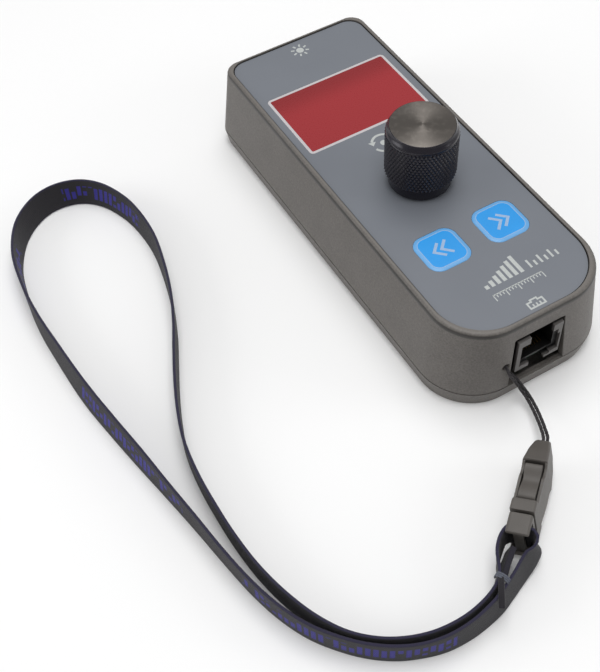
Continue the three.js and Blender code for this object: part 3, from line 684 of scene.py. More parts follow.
def woven(strap):
    """Webbing by its own map, first coordinate along and second across: rows of warp threads crossed by the
    weft as small slanting ribs, with painted shade between the threads and a painted highlight on their tops,
    and woven marks in short blocks, in groups, along both faces."""
    look = Look("woven webbing")
    along, across, _ = look.axes(look.node("UVMap", {"uv_map": "surface"}))
    warp = (across * (math.pi / 0.00042)).sine()
    weft = ((along + across * 0.35) * (math.pi / 0.0005)).sine()
    thread = abs(warp) * 0.5 + abs(weft) * 0.5
    fuzz = look.noise(0.0002, detail=3.0)
    # Painted shade between the threads and painted highlight on their tops.
    tone = look.mix(thread.within(0.15, 0.85), shade(strap.colour, 0.55), shade(strap.colour, 1.35))
    tone = look.mix(fuzz.within(0.55, 0.8) * 0.35, tone, shade(strap.colour, 2.0))
    inside = 0.0
    for first, last in MARKED:
        inside = along.within(first, first + 0.0005) * (1 - along.within(last, last + 0.0005)) + inside
    cell = (along / 0.0021).whole()
    lucky = look.node(
        "TexWhiteNoise", {"noise_dimensions": "2D"},
        {"Vector": look.node("CombineXYZ", {}, {0: cell, 1: ((across + 0.003) / 0.0017).whole()})},
    )
    bar = ((along / 0.0021).fraction() < 0.66) * (lucky > 0.3) * (1 - abs(across).within(0.0023, 0.0026))
    tone = look.mix(bar * inside * (thread * 0.4 + 0.6), tone, strap.mark)
    rim = abs(across).within(0.0043, 0.005)
    tone = look.mix(rim * 0.3, tone, srgb(52, 48, 92))
    return look.done(
        Base_Color=tone,
        Roughness=0.88,
        Sheen_Weight=0.1,
        Sheen_Roughness=0.5,
        Normal=look.bump(thread * 0.75 + fuzz * 0.25, 0.00012),
    )


# ------------------------------------------------------------------ settings of each group
def length_of(name, description, value):
    """A size in metres that the sidebar shows."""
    return FloatProperty(name=name, description=description, default=value * MM, unit="LENGTH", precision=5)


def colour_of(name, description, value):
    """A colour that the sidebar shows."""
    return FloatVectorProperty(
        name=name, description=description, subtype="COLOR", size=4, min=0, max=1, default=value
    )


class StageSettings(bpy.types.PropertyGroup):
    floor: colour_of("Floor", "Colour of the floor", srgb(249, 249, 249))
    floor_size: length_of("Floor size", "Side of the square floor", 3000)
    softbox: FloatProperty(
        name="Softbox", description="Power of the overhead softbox", default=4.7, unit="POWER"
    )
    surround: FloatProperty(
        name="Surround", description="Strength of the even light from all round", default=0.42
    )


class CordSettings(bpy.types.PropertyGroup):
    colour: colour_of("Cord colour", "Colour of the braided cord", srgb(46, 43, 45))
    diameter: length_of("Cord diameter", "Thickness of the braided cord", 1.0)
    pitch: FloatProperty(name="Braid pitch", description="Millimetres for one turn of a strand", default=2.6)


class StrapSettings(bpy.types.PropertyGroup):
    colour: colour_of("Webbing colour", "Colour of the webbing", srgb(27, 25, 30))
    mark: colour_of("Mark colour", "Colour of the woven marks", srgb(46, 38, 140))
    thread: colour_of("Thread colour", "Colour of the stitching", srgb(104, 108, 120))
    width: length_of("Webbing width", "Width of the webbing", 9.9)
    thick: length_of("Webbing thickness", "Thickness of the webbing", 0.9)


class BuckleSettings(bpy.types.PropertyGroup):
    colour: colour_of("Buckle colour", "Colour of the buckle's plastic", srgb(84, 80, 76))


class CaseSettings(bpy.types.PropertyGroup):
    plastic: colour_of("Case colour", "Colour of the case's plastic", srgb(97, 93, 89))
    grain: FloatProperty(
        name="Grain", description="Size of the mould's grain", default=0.00045, unit="LENGTH", precision=6
    )


class FrontSettings(bpy.types.PropertyGroup):
    film: colour_of("Film colour", "Ground colour of the front film", srgb(115, 119, 126))
    ink: colour_of("Ink colour", "Colour of the printed marks", srgb(186, 190, 188))
    border: colour_of("Border colour", "Colour of the window's border", srgb(196, 192, 194))
    filter: colour_of("Filter colour", "Colour of the display's filter", srgb(151, 47, 51))


class KeySettings(bpy.types.PropertyGroup):
    face: colour_of("Key colour", "Colour of the keys inside their ring", srgb(32, 148, 224))
    margin: colour_of("Margin colour", "Colour of the keys outside their ring", srgb(100, 162, 215))
    arrow: colour_of("Arrow colour", "Colour of the printed arrows", srgb(152, 180, 214))


class KnobSettings(bpy.types.PropertyGroup):
    colour: colour_of("Knob colour", "Colour of the knob's anodised side", srgb(19, 15, 28))
    spun: colour_of("Spun face colour", "Colour of the knob's turned top", srgb(114, 109, 104))
    diamonds: IntProperty(name="Diamonds", description="Diamonds of the knurl round the knob", default=58)
    stretch: FloatProperty(name="Stretch", description="Height of a diamond over its width", default=1.6)
    depth: length_of("Knurl depth", "Depth of the knurl's grooves", 0.42)


class JackSettings(bpy.types.PropertyGroup):
    colour: colour_of("Jack colour", "Colour of the jack's plastic", srgb(84, 81, 79))


class InsideSettings(bpy.types.PropertyGroup):
    steel: colour_of("Steel colour", "Colour of screws and plated parts", srgb(170, 168, 164))
    gold: colour_of("Contact colour", "Colour of the gilt contacts", srgb(120, 96, 50))


# ------------------------------------------------------------------ operators
class ControllerStage(bpy.types.Operator):
    """Floor, soft lights and the camera"""

    bl_idname = "controller.stage"
    bl_label = "Stage"

    def execute(self, context):
        settings = context.scene.controller_stage
        place_camera(context)
        place_lights(context, settings)
        half = settings.floor_size / MM / 2
        sheet = np.array([[(-half, -half, 0), (half, -half, 0)], [(-half, half, 0), (half, half, 0)]], float)
        ground = Surface().grid(sheet[:, ::-1]).piece("floor")
        look = Look("pale floor")
        cloud = look.noise(0.2, detail=2.0)
        ground.data.materials.append(look.done(
            Base_Color=look.mix(cloud.within(0.3, 0.7), shade(settings.floor, 0.99), settings.floor),
            Roughness=0.7,
        ))
        return {"FINISHED"}


def place_camera(context):
    """Camera at a height over the near corner, turned about its own line of sight."""
    location = Vector((-0.14684, -0.21112, 0.28093))
    target = Vector((-0.06292, -0.04324, 0.03168))
    roll = math.radians(-4.39)
    forward = (target - location).normalized()
    right = forward.cross(Vector((0, 0, 1))).normalized()
    up = right.cross(forward)
    turned = right * math.cos(roll) + up * math.sin(roll)
    upright = up * math.cos(roll) - right * math.sin(roll)
    camera = bpy.data.objects.new("camera", bpy.data.cameras.new("camera"))
    turning = Matrix((turned, upright, -forward)).transposed().to_4x4()
    camera.matrix_world = Matrix.Translation(location) @ turning
    camera.data.lens, camera.data.sensor_width, camera.data.sensor_fit = 58.98, 36.0, "AUTO"
    camera.data.clip_start, camera.data.clip_end = 0.01, 20.0
    context.scene.collection.objects.link(camera)
    context.scene.camera = camera


def softbox(context, name, location, target, size, power, turn=0.0):
    """Rectangular lamp that faces a point, turned by some degrees about the upright."""
    lamp = bpy.data.lights.new(name, "AREA")
    lamp.shape, lamp.size, lamp.size_y, lamp.energy = "RECTANGLE", size[0], size[1], power
    thing = bpy.data.objects.new(name, lamp)
    aim = (Vector(target) - Vector(location)).to_track_quat("-Z", "Y")
    spin = Matrix.Rotation(math.radians(turn), 4, "Z")
    thing.matrix_world = Matrix.Translation(location) @ spin @ aim.to_matrix().to_4x4()
    context.scene.collection.objects.link(thing)
    return thing


def place_lights(context, settings):
    """Even surround, one long softbox overhead in line with the view, and weaker ones to either side."""
    world = bpy.data.worlds.new("studio")
    world.use_nodes = True
    ground = world.node_tree.nodes["Background"]
    ground.inputs["Color"].default_value = (1.0, 1.0, 1.0, 1)
    ground.inputs["Strength"].default_value = settings.surround
    context.scene.world = world
    centre = (-0.03, -0.03, 0.0)
    softbox(context, "overhead", (0.02, 0.02, 0.85), (0.02, 0.02, 0), (0.42, 0.85), settings.softbox, -35)
    softbox(context, "left side", (-0.8, 0.3, 0.32), centre, (0.5, 0.4), settings.softbox * 0.4)
    softbox(context, "right side", (0.5, -0.4, 0.28), centre, (0.3, 0.25), settings.softbox * 0.13)
    context.scene.view_settings.view_transform = "Standard"


class ControllerCord(bpy.types.Operator):
    """Braided cord from the case's eyelet to the buckle"""

    bl_idname = "controller.cord"
    bl_label = "Tether cord"

    def execute(self, context):
        cord = context.scene.controller_cord
        path, run = curve(CORD_ROUTE, 0.12)
        surface = lay_tube(Surface(), path, run, cord.diameter / MM / 2 - 0.02, 18, 0.06, cord.pitch)
        piece = surface.piece("tether_braid")
        dress(piece, "case", braid(cord), ["tether_cord"], 70, False)
        return {"FINISHED"}


def strap_line():
    """The webbing's closed line and its width's direction at each point, leant over from upright."""
    shrink = np.array([1, 1, 1, 0.02])
    line, run = curve(np.array(STRAP_ROUTE) * shrink, 0.8, closed=True)
    path, lean = line[:, :3], np.radians(line[:, 3:] / 0.02)
    left = np.cross([0, 0, 1.0], tangents(path, True))
    return path, run, np.array([[0, 0, 1.0]]) * np.cos(lean) + unit(left) * np.sin(lean)


class ControllerStrap(bpy.types.Operator):
    """Wrist strap: one band of webbing through the buckle, sewn to itself, with its two cut ends"""

    bl_idname = "controller.strap"
    bl_label = "Wrist strap"

    def execute(self, context):
        strap = context.scene.controller_strap
        width, thick = strap.width / MM, strap.thick / MM
        look = woven(strap)
        path, run, up = strap_line()
        surface = lay_ribbon(Surface(), path, run, up, width, thick, closed=True)
        loop = surface.piece("wrist_webbing")
        dress(loop, "case", look, ["wrist_strap"], 60, False)
        tabs, stitching = self.ends(look, width, thick), self.stitching(strap)
        return {"FINISHED"}

    def ends(self, look, width, thick):
        """The webbing's two cut ends: one stands inside the small loop, one hangs over the near run."""
        tabs = Surface()
        # The inner end is the webbing's own cut end, doubled and carried up towards the bar so that it also
        # fills the loop's inside: a dark stand-in for the shade seen there.
        inside = (-42.3, -119.0, 6.3), (-45.5, -121.2, 5.6), (-48.2, -123.3, 5.2), (-49.6, -124.6, 5.1)
        over = (-50.5, -125.0, 10.3), (-51.9, -127.0, 10.9), (-53.5, -129.4, 10.5), (-54.8, -131.7, 8.6)
        for points, step, up, wide, deep in (
            (inside, 0.4, (0.1, -0.12, 0.98), width - 0.9, thick * 1.9),
            (over, 0.3, (0.8, -0.5, 0.35), 1.7, thick),
        ):
            line, run = curve(points, step)
            lay_ribbon(tabs, line, run + 2, np.broadcast_to(up, line.shape), wide, deep)
        return dress(tabs.piece("webbing_ends"), "case", look, (), 60, False)

    def stitching(self, strap):
        """Turns of thread over the top edges of the two runs."""
        seam = Surface()
        middle = np.array([-50.2, -125.4, 0])
        across, along = np.array([0.4, -0.917, 0]), np.array([-0.917, -0.4, 0])
        arch = np.array([
            (-1.9, 8.6), (-1.8, 10.0), (-1.1, 10.6), (0, 10.8), (1.1, 10.6), (1.8, 10.0), (1.9, 8.6),
        ])
        for shift in (-0.55, 0.0, 0.55):
            points = middle + along * shift + across * arch[:, :1] + np.array([[0, 0, 1.0]]) * arch[:, 1:]
            line, run = curve(points, 0.15)
            lay_tube(seam, line, run, 0.27, 8, 0.04, 1.0)
        thread = Look("stitching thread")
        twist = thread.noise(0.0002, detail=2.0)
        look = thread.done(
            Base_Color=thread.mix(twist, shade(strap.thread, 0.6), strap.thread), Roughness=0.8,
            Normal=thread.bump(twist, 0.00004),
        )
        return dress(seam.piece("strap_stitching"), "case", look, (), 70, False)


def bar_rings(rows, radius, steps=6):
    """Rings of a bar along the buckle. Each row gives its station, half thickness, lowest and highest
    edge; the ring there is an oblong whose corners are quarter circles of the radius."""
    rows = np.asarray(rows, float)
    station, half, low, high = (rows[:, k : k + 1] for k in range(4))
    turn = np.radians(np.arange(4)[:, None] * 90 + np.linspace(0, 90, steps + 1)[None, :]).ravel()
    quarter = np.repeat(np.arange(4), steps + 1)
    side = np.where((quarter == 0) | (quarter == 3), 1, -1)
    top = np.where(quarter < 2, 1, -1)
    through = side * (half - radius) + radius * np.cos(turn)
    middle, tall = (low + high) / 2, (high - low) / 2
    across = middle + top * (tall - radius) + radius * np.sin(turn)
    return np.stack([np.broadcast_to(station, through.shape), through, across], -1)


def straight_between(table, stations):
    """Values at stations from a table of (station, value), in straight lines between its rows."""
    table = np.asarray(table, float)
    return np.interp(stations, table[:, 0], table[:, 1])


class ControllerBuckle(bpy.types.Operator):
    """Side-release buckle: frame, tongue with its bar, and two spring prongs with finger pads"""

    bl_idname = "controller.buckle"
    bl_label = "Buckle"

    def execute(self, context):
        look = moulded("buckle plastic", context.scene.controller_buckle.colour, 0.5, 0.0005, 0.00002, 0.06)
        for body, node in ((self.frame(), "buckle_female"), (self.tongue(), "buckle_male")):
            dress(put(body, BUCKLE), "case", look, [node])
        for name, way in (("upper", 1), ("lower", -1)):
            prong = self.prong(way)
            prong.name = prong.data.name = f"buckle_prong_{name}"
            dress(put(prong, BUCKLE), f"latch_{name}", look, [f"buckle_latch_{name}"])
        return {"FINISHED"}

    def frame(self):
        """Hollow frame that narrows to the cord, with a window through each cheek and finger scallops."""
        stations = np.array([
            0, 0.15, 0.5, 1, 2, 3, 4, 5, 6.2, 7.4, 8.6, 9.5, 10.5, 12, 14, 16, 18, 20, 21.85, 22.0, 22.15,
            25.1, 25.3, 25.4,
        ])
        wide = straight_between([
            (0, 3.4), (0.15, 3.75), (0.5, 4.05), (1, 4.5), (5, 6.35), (8.6, 7.4), (9.5, 7.55), (12, 7.5),
            (14, 7.3), (20, 6.95), (21.85, 6.85), (22.15, 7.25), (25.1, 7.25), (25.3, 7.15), (25.4, 6.95),
        ], stations)
        thick = straight_between([
            (0, 1.7), (0.15, 2.0), (0.5, 2.2), (4, 2.9), (9.5, 3.5), (25.1, 3.45), (25.3, 3.35), (25.4, 3.15),
        ], stations)
        shell = Surface().skin(bar_rings(np.column_stack([stations, thick, -wide, wide]), 0.7))
        cheek = np.array([(9.3, 6.7), (21.6, 5.2), (21.6, 11), (9.3, 11)])
        return soften(combine(shell.piece("buckle_frame"), [
            block(6, 30, -2.1, 2.1, -5.2, 5.2), block(9.3, 21.6, -2.75, 2.75, -10, 10),
            block(-1, 8, -1.7, 1.7, -1.1, 1.1),
            *[bore(cheek * [1, way], -5.0, 5.0) for way in (-1, 1)],
            *[bore(circle(3.4, 12.2, across, 40), -5.0, 5.0) for across in (-8.9, 8.9)],
        ]), 0.14, 2, 50)

    def tongue(self):
        """Head with a slot and a bar for the webbing, and the tongue that guides it into the frame."""
        stations, half = np.array([
            (26, 2.95), (26.06, 3.12), (26.25, 3.25), (31.5, 3.25), (31.8, 3.15), (31.95, 2.9), (32, 2.6),
        ]).T
        edge = straight_between(
            [(26, 6.6), (26.25, 6.9), (27, 6.9), (31.5, 6.3), (31.8, 6.2), (32, 5.8)], stations,
        )
        head = Surface().skin(bar_rings(np.column_stack([stations, half, -edge, edge]), 0.85))
        body = combine(head.piece("buckle_tongue"), [
            block(27.6, 30.0, -5, 5, -BUCKLE_DEEP, BUCKLE_DEEP),
            block(29.9, 34, 1.4, 5, -BUCKLE_DEEP, BUCKLE_DEEP),
            block(29.9, 34, -5, -1.4, -BUCKLE_DEEP, BUCKLE_DEEP),
            block(31.1, 34, -5, 5, -BUCKLE_DEEP, BUCKLE_DEEP),
        ])
        guide = Surface().skin(bar_rings(
            [(9.5, 0.9, -0.7, 0.7), (9.8, 1.35, -1.05, 1.05), (10.3, 1.5, -1.2, 1.2), (26.5, 1.5, -1.2, 1.2)],
            0.4,
        ))
        return soften(combine(body, [guide.piece("guide")], "UNION"), 0.16, 2, 50)

    def prong(self, way):
        """Spring prong with its wider finger pad; `way` is 1 on one edge of the buckle, -1 on the other."""
        outer_edge = np.array([
            (10.0, 6.2), (10.08, 6.6), (10.25, 6.95), (10.5, 7.2), (10.9, 7.32), (11.4, 7.24), (12.0, 7.0),
            (12.6, 6.6), (13.3, 6.15), (14.0, 5.8), (14.8, 5.62), (15.6, 5.7), (16.5, 6.0), (17.5, 6.35),
            (18.6, 6.62), (19.8, 6.7), (20.5, 6.5), (20.9, 6.15), (21.12, 5.7), (21.2, 5.3), (21.25, 4.6),
            (24.4, 4.5), (24.55, 4.35), (24.6, 4.3),
        ])
        stations, outer = outer_edge.T
        inner = straight_between([(10, 3.4), (24.6, 3.0)], stations)
        arm = self.bar(stations, way * inner, way * np.minimum(outer, 4.9), 1.72)
        wide = stations < 21.22
        pad = self.bar(stations[wide], way * 4.2 + 0 * outer[wide], way * outer[wide], 2.4)
        return combine(arm, [pad], "UNION")

    def bar(self, stations, inner, outer, half):
        """Part of a spring prong, between its inner and outer edges."""
        low, high = np.minimum(inner, outer), np.maximum(inner, outer)
        rows = np.column_stack([stations, np.full(len(stations), half), low, high])
        return Surface().skin(bar_rings(rows, 0.3)).piece("prong")


def rounded_polygon(points, radius, grow=0.0, steps=6):
    """Convex outline, anticlockwise, whose corners are arcs of the radius; `grow` moves it outwards.
    Each arc's centre lies inside its corner, on the bisector, at the radius from both sides."""
    here = np.asarray(points, float)
    before, after = unit(here - np.roll(here, 1, 0)), unit(np.roll(here, -1, 0) - here)
    first = np.stack([before[:, 1], -before[:, 0]], -1)
    second = np.stack([after[:, 1], -after[:, 0]], -1)
    middle = unit(first + second)
    centre = here - middle * radius / np.sum(middle * first, -1, keepdims=True)
    start = np.arctan2(first[:, 1], first[:, 0])[:, None]
    sweep = np.arccos(np.clip(np.sum(first * second, -1), -1, 1))[:, None]
    turn = start + sweep * np.linspace(0, 1, steps + 1)
    reach = radius + grow
    return (centre[:, None] + reach * np.stack([np.cos(turn), np.sin(turn)], -1)).reshape(-1, 2)


def wall_opening(outline_at, edge, depth):
    """Cutter for an opening in the near wall. `outline_at` gives the opening's outline, in x and z, for
    an amount of growth; the growth follows a quarter circle of radius `edge` down from the wall's face,
    so that the opening has a rounded edge, and each ring lies parallel to the sloping wall."""
    deep = np.array([-1.0, 0.0, 0.06, 0.2, 0.45, 0.75, 1.0]) * edge
    grow = edge - np.sqrt(np.clip(edge**2 - (edge - np.clip(deep, 0, edge)) ** 2, 0, None))
    deep, grow = np.append(deep, depth), np.append(grow, 0.0)
    slope = (RIM["near"] - SEAM["near"]) / (RIM["z"] - SEAM["z"])
    rings = []
    for down, more in zip(deep, grow):
        outline = outline_at(more)
        face = SEAM["near"] + slope * (outline[:, 1] - SEAM["z"])
        rings.append(np.column_stack([outline[:, 0], face + down, outline[:, 1]]))
    return Surface().skin(rings).piece("cutter")


def posts(places, radius, z0, z1, steps=32):
    """Upright round posts or holes at several places."""
    return [prism(circle(radius, x, y, steps), z0, z1).piece("post") for x, y in places]


def middles(prefix):
    """Plan positions of the four screws of a kind."""
    boxes = [corners(f"{prefix}_{number}") for number in range(1, 5)]
    return [tuple(((low + high) / 2)[:2]) for low, high in boxes]


class ControllerCase(bpy.types.Operator):
    """Top shell with its recessed face and jack opening, and the bottom cover"""

    bl_idname = "controller.case"
    bl_label = "Case"

    def execute(self, context):
        look = case_plastic(context.scene.controller_case)
        self.top_shell(look)
        self.bottom_cover(look)
        return {"FINISHED"}

    def top_shell(self, look):
        """Ceiling and walls with their rim and recess, their openings, and the screws' posts inside."""
        level = partial(case_ring, SEAM, RIM)
        lip = SEAM["z"] + GAP
        bend = np.radians(np.linspace(0, 90, 11))[1:]
        recess = OVERLAY_LOW[2] - GAP
        rings = [level(CEILING, WALL), level(lip, WALL), level(lip, 0.18), level(lip, 0.06, lip + 0.05)]
        rings += [level(z, 0) for z in np.linspace(lip + 0.18, RIM["z"], 7)]
        rings += [
            level(RIM["z"], RIM_ROUND * (1 - math.cos(a)), RIM["z"] + RIM_ROUND * math.sin(a)) for a in bend
        ]
        top = RIM["z"] + RIM_ROUND
        for out, z in ((0.16, top), (0.05, top - 0.04), (0.0, top - 0.14), (0.0, recess)):
            rings.append(raised(inset_plate(OVERLAY, -GAP - out), z))
        shell = Surface().skin(rings).piece("case_shell")

        jack = [(-10.9, 5.0), (9.5, 5.0), (8.15, 25.8), (-9.55, 25.8)]
        eyelet = np.array([-12.3, 15.7])
        cutters = [
            block(-21, 21, WINDOW_LOW[1] + 2, WINDOW_HIGH[1] - 2, CEILING - 1, top),
            wall_opening(lambda more: rounded_polygon(jack, 0.5, more), 0.3, 9),
            wall_opening(lambda more: eyelet + circle(1.15 + more, steps=28), 0.5, 9),
            *posts([(-KEY_X, KEY_Y), (KEY_X, KEY_Y)], PLUNGER_HOLE, CEILING - 1, top),
            *posts([(KNOB_X, KNOB_Y)], SHAFT_HOLE, CEILING - 1, top, 48),
        ]
        combine(shell, cutters)
        cover_screws, front_screws = middles("cover_screw"), middles("front_board_screw")
        inside = CEILING + 0.5
        combine(shell, posts(cover_screws, 3.2, 8, inside) + posts(front_screws, 2.9, 21.5, inside), "UNION")
        holes = posts(cover_screws, SCREW_HOLE, 7, 22, 20) + posts(front_screws, SCREW_HOLE, 20, 28, 20)
        combine(shell, holes)
        dress(shell, "case", look, ["top_shell"])

    def bottom_cover(self, look):
        """Floor and low walls with a grooved seam, a locating lip, and the screws' posts and holes."""
        level = partial(case_ring, BASE, SEAM)
        seam = SEAM["z"]
        bend = np.radians(np.linspace(0, 90, 7))
        rings = [level(FLOOR, WALL), level(seam, WALL, seam - 0.12), level(seam, WALL - 0.12)]
        rings += [level(seam, 1.25), level(seam, 1.17, seam - 0.16), level(seam, 1.03, seam - 0.16)]
        rings += [level(seam, 0.95), level(seam, 0.2), level(seam, 0.06, seam - 0.05), level(seam - 0.2, 0)]
        rings += [level(3.4, 0)]
        rings += [
            level(BASE["z"], BASE_ROUND * (1 - math.cos(a)), BASE["z"] - BASE_ROUND * math.sin(a))
            for a in bend
        ]
        cover = Surface().skin(rings).piece("case_cover")
        cover_screws, main_screws = middles("cover_screw"), middles("main_board_screw")

        combine(cover, [self.locating_lip()], "UNION")
        stands = posts(main_screws, 2.6, FLOOR - 1, 10.1)
        combine(cover, posts(cover_screws, 3.6, FLOOR - 1, 7.7) + stands, "UNION")
        combine(cover, [
            *posts(cover_screws, 2.9, -1, 2.9), *posts(cover_screws, SCREW_HOLE, 1, 9, 20),
            *posts(main_screws, SCREW_HOLE, 3.4, 12, 20),
        ])
        dress(cover, "case", look, ["bottom_cover"])

    def locating_lip(self):
        """Ring that stands up inside the top shell's wall, left open where the jack stands."""
        edge, outer = between(SEAM, RIM, SEAM["z"]), WALL + GAP
        steps = (
            (outer, FLOOR - 0.5), (outer, LIP_TOP - 0.15), (outer + 0.15, LIP_TOP),
            (outer + LIP_THICK, LIP_TOP), (outer + LIP_THICK, FLOOR - 0.5),
        )
        lip = Surface().skin([raised(inset_plate(edge, inset), z) for inset, z in steps]).piece("lip")
        inner = prism(inset_plate(edge, outer + LIP_THICK), FLOOR - 1, 9).piece("inner")
        return combine(lip, [inner, block(-13.8, 12, -80, -60, 1.0, 9)])


def rounded_square(size, radius, x, y):
    """Outline of a square with rounded corners about a point."""
    half = size / 2
    return plate(half, -half, half, radius, radius, 10, 4) + np.array([x, y])


def stroke(path, width, z0, z1, closed=False):
    """Line of even width drawn along a flat path, as a thin solid. Each point moves to both sides along
    the bisector of its two sides, by half the width over the cosine of half the turn."""
    path = np.asarray(path, float)
    before = unit(path - np.roll(path, 1, 0))
    after = unit(np.roll(path, -1, 0) - path)
    if not closed:
        before[0], after[-1] = after[0], before[-1]
    normal = np.stack([-before[:, 1], before[:, 0]], -1)
    other = np.stack([-after[:, 1], after[:, 0]], -1)
    bisector = unit(normal + other)
    reach = bisector * (width / 2) / np.sum(bisector * normal, -1, keepdims=True)
    left, right = path + reach, path - reach
    section = np.stack([raised(left, z0), raised(right, z0), raised(right, z1), raised(left, z1)], 1)
    if closed:
        return Surface().grid(np.concatenate([section, section[:1]]), True)
    return Surface().skin(section)


def add(surface, other):
    """Puts one gathered surface's points and faces into another."""
    surface.faces += [[corner + surface.count for corner in face] for face in other.faces]
    surface.points += other.points
    surface.slots += other.slots
    surface.maps += other.maps
    surface.count += other.count
    return surface


def arc(radius, x, y, start, stop, steps=24):
    """Points along a circular arc, in degrees."""
    turn = np.radians(np.linspace(start, stop, steps + 1))
    return np.stack([x + radius * np.cos(turn), y + radius * np.sin(turn)], -1)


class ControllerFront(bpy.types.Operator):
    """Front film with its printed marks, and the display window"""

    bl_idname = "controller.front"
    bl_label = "Front face"

    def execute(self, context):
        front = context.scene.controller_front
        top, low = OVERLAY_TOP, OVERLAY_LOW[2]
        rings = [
            raised(inset_plate(OVERLAY, inset), z)
            for inset, z in ((0.04, low), (0, low + 0.04), (0, top - 0.1), (0.03, top - 0.03), (0.1, top))
        ]
        film = Surface().skin(rings).piece("front_film")
        near, far = WINDOW_LOW[1] - GAP, WINDOW_HIGH[1] + GAP
        size = {"half": 23.1, "near": near, "far": far, "near_r": 1.5, "far_r": 1.5}
        window = plate(**size, arc_steps=8, side_steps=4)
        keys = [rounded_square(KEY_SIZE + 0.1, KEY_CORNER + 0.05, x, KEY_Y) for x in (-KEY_X, KEY_X)]
        openings = [window, *keys, circle(FILM_HOLE, KNOB_X, KNOB_Y, 64)]
        combine(film, [prism(outline, low - 1, top + 1).piece("opening") for outline in openings])
        dress(film, "case", overlay_film(front), ["front_overlay"])

        steps = ((0.04, low), (0.04, top - 0.04), (0.08, top), (1.0, top), (1.05, top - 0.03))
        rings = [raised(inset_plate(size, inset, arc_steps=8, side_steps=4), z) for inset, z in steps]
        pane = Surface().skin(rings, np.array([1, 0, 0, 1]))
        looks = [ink("window border ink", front.border), red_filter(front)]
        dress(pane.piece("display_filter", looks=looks), "case", None, ["display_window"])

        marks = Surface()
        for mark in (*self.sun(), *self.turn_arrows(), *self.speed_scale(), *self.socket()):
            add(marks, mark)
        dress(marks.piece("front_print"), "case", ink("print ink", front.ink), (), 32, False)
        return {"FINISHED"}

    def line(self, path, width, closed=False):
        """Printed line on the film."""
        return stroke(path, width, OVERLAY_TOP + PRINT_LOW, OVERLAY_TOP + PRINT_HIGH, closed)

    def disc(self, outline):
        """Printed patch on the film."""
        return prism(outline, OVERLAY_TOP + PRINT_LOW, OVERLAY_TOP + PRINT_HIGH)

    def sun(self):
        """Plain star mark at the display end: a disc with short rays round it."""
        x, y = 0.1, 65.6
        marks = [self.disc(circle(1.35, x, y, 32))]
        for turn in np.radians(np.arange(8) * 45 + 22.5):
            ray = np.array([math.cos(turn), math.sin(turn)])
            marks.append(self.line([[x, y] + ray * 1.95, [x, y] + ray * 3.2], 0.62))
        return marks

    def turn_arrows(self):
        """Two curved arrows above the knob: it turns either way."""
        x, y, radius = -0.4, 10.3, 3.9
        marks = []
        for start in (20, 200):
            marks.append(self.line(arc(radius, x, y, start, start + 128), 0.85))
            tip = math.radians(start + 148)
            side = np.array([math.cos(tip), math.sin(tip)])
            ahead = np.array([-side[1], side[0]])
            middle = np.array([x, y]) + radius * np.array([math.cos(tip - 0.33), math.sin(tip - 0.33)])
            head = np.array([middle + side * 1.35, middle + ahead * 1.75, middle - side * 1.35])
            marks.append(self.disc(head))
        marks.append(self.disc(circle(1.2, x, y, 28)))
        return marks

    def speed_scale(self):
        """Plain scale between the keys and the jack: bars that grow, and a ruled line below."""
        marks = []
        for step in range(7):
            x = -8.0 + step * 2.05
            marks.append(self.line([(x, -57.6), (x, -56.2 + step * 0.95)], 1.25))
        for step in range(6):
            x = 7.6 + step * 1.95
            marks.append(self.line([(x, -57.6), (x, -55.6 if step % 2 else -54.4)], 0.7))
        marks.append(self.line([(-8.6, -60.3), (9.0, -60.3)], 0.35))
        for step in range(17):
            x = -8.4 + step * 1.08
            marks.append(self.line([(x, -60.3), (x, -62.6 if step % 4 == 0 else -61.5)], 0.34))
        return marks

    def socket(self):
        """Plain mark for the socket: an outline with a latch notch and three contacts."""
        x, y = 0.5, -68.7
        outline = np.array([
            (-2.6, -1.3), (2.6, -1.3), (2.6, 0.8), (1.1, 0.8),
            (1.1, 1.5), (-1.1, 1.5), (-1.1, 0.8), (-2.6, 0.8),
        ]) + [x, y]
        marks = [self.line(outline, 0.55, True)]
        for shift in (-1.2, 0, 1.2):
            marks.append(self.line([(x + shift, y - 1.0), (x + shift, y - 0.1)], 0.5))
        return marks


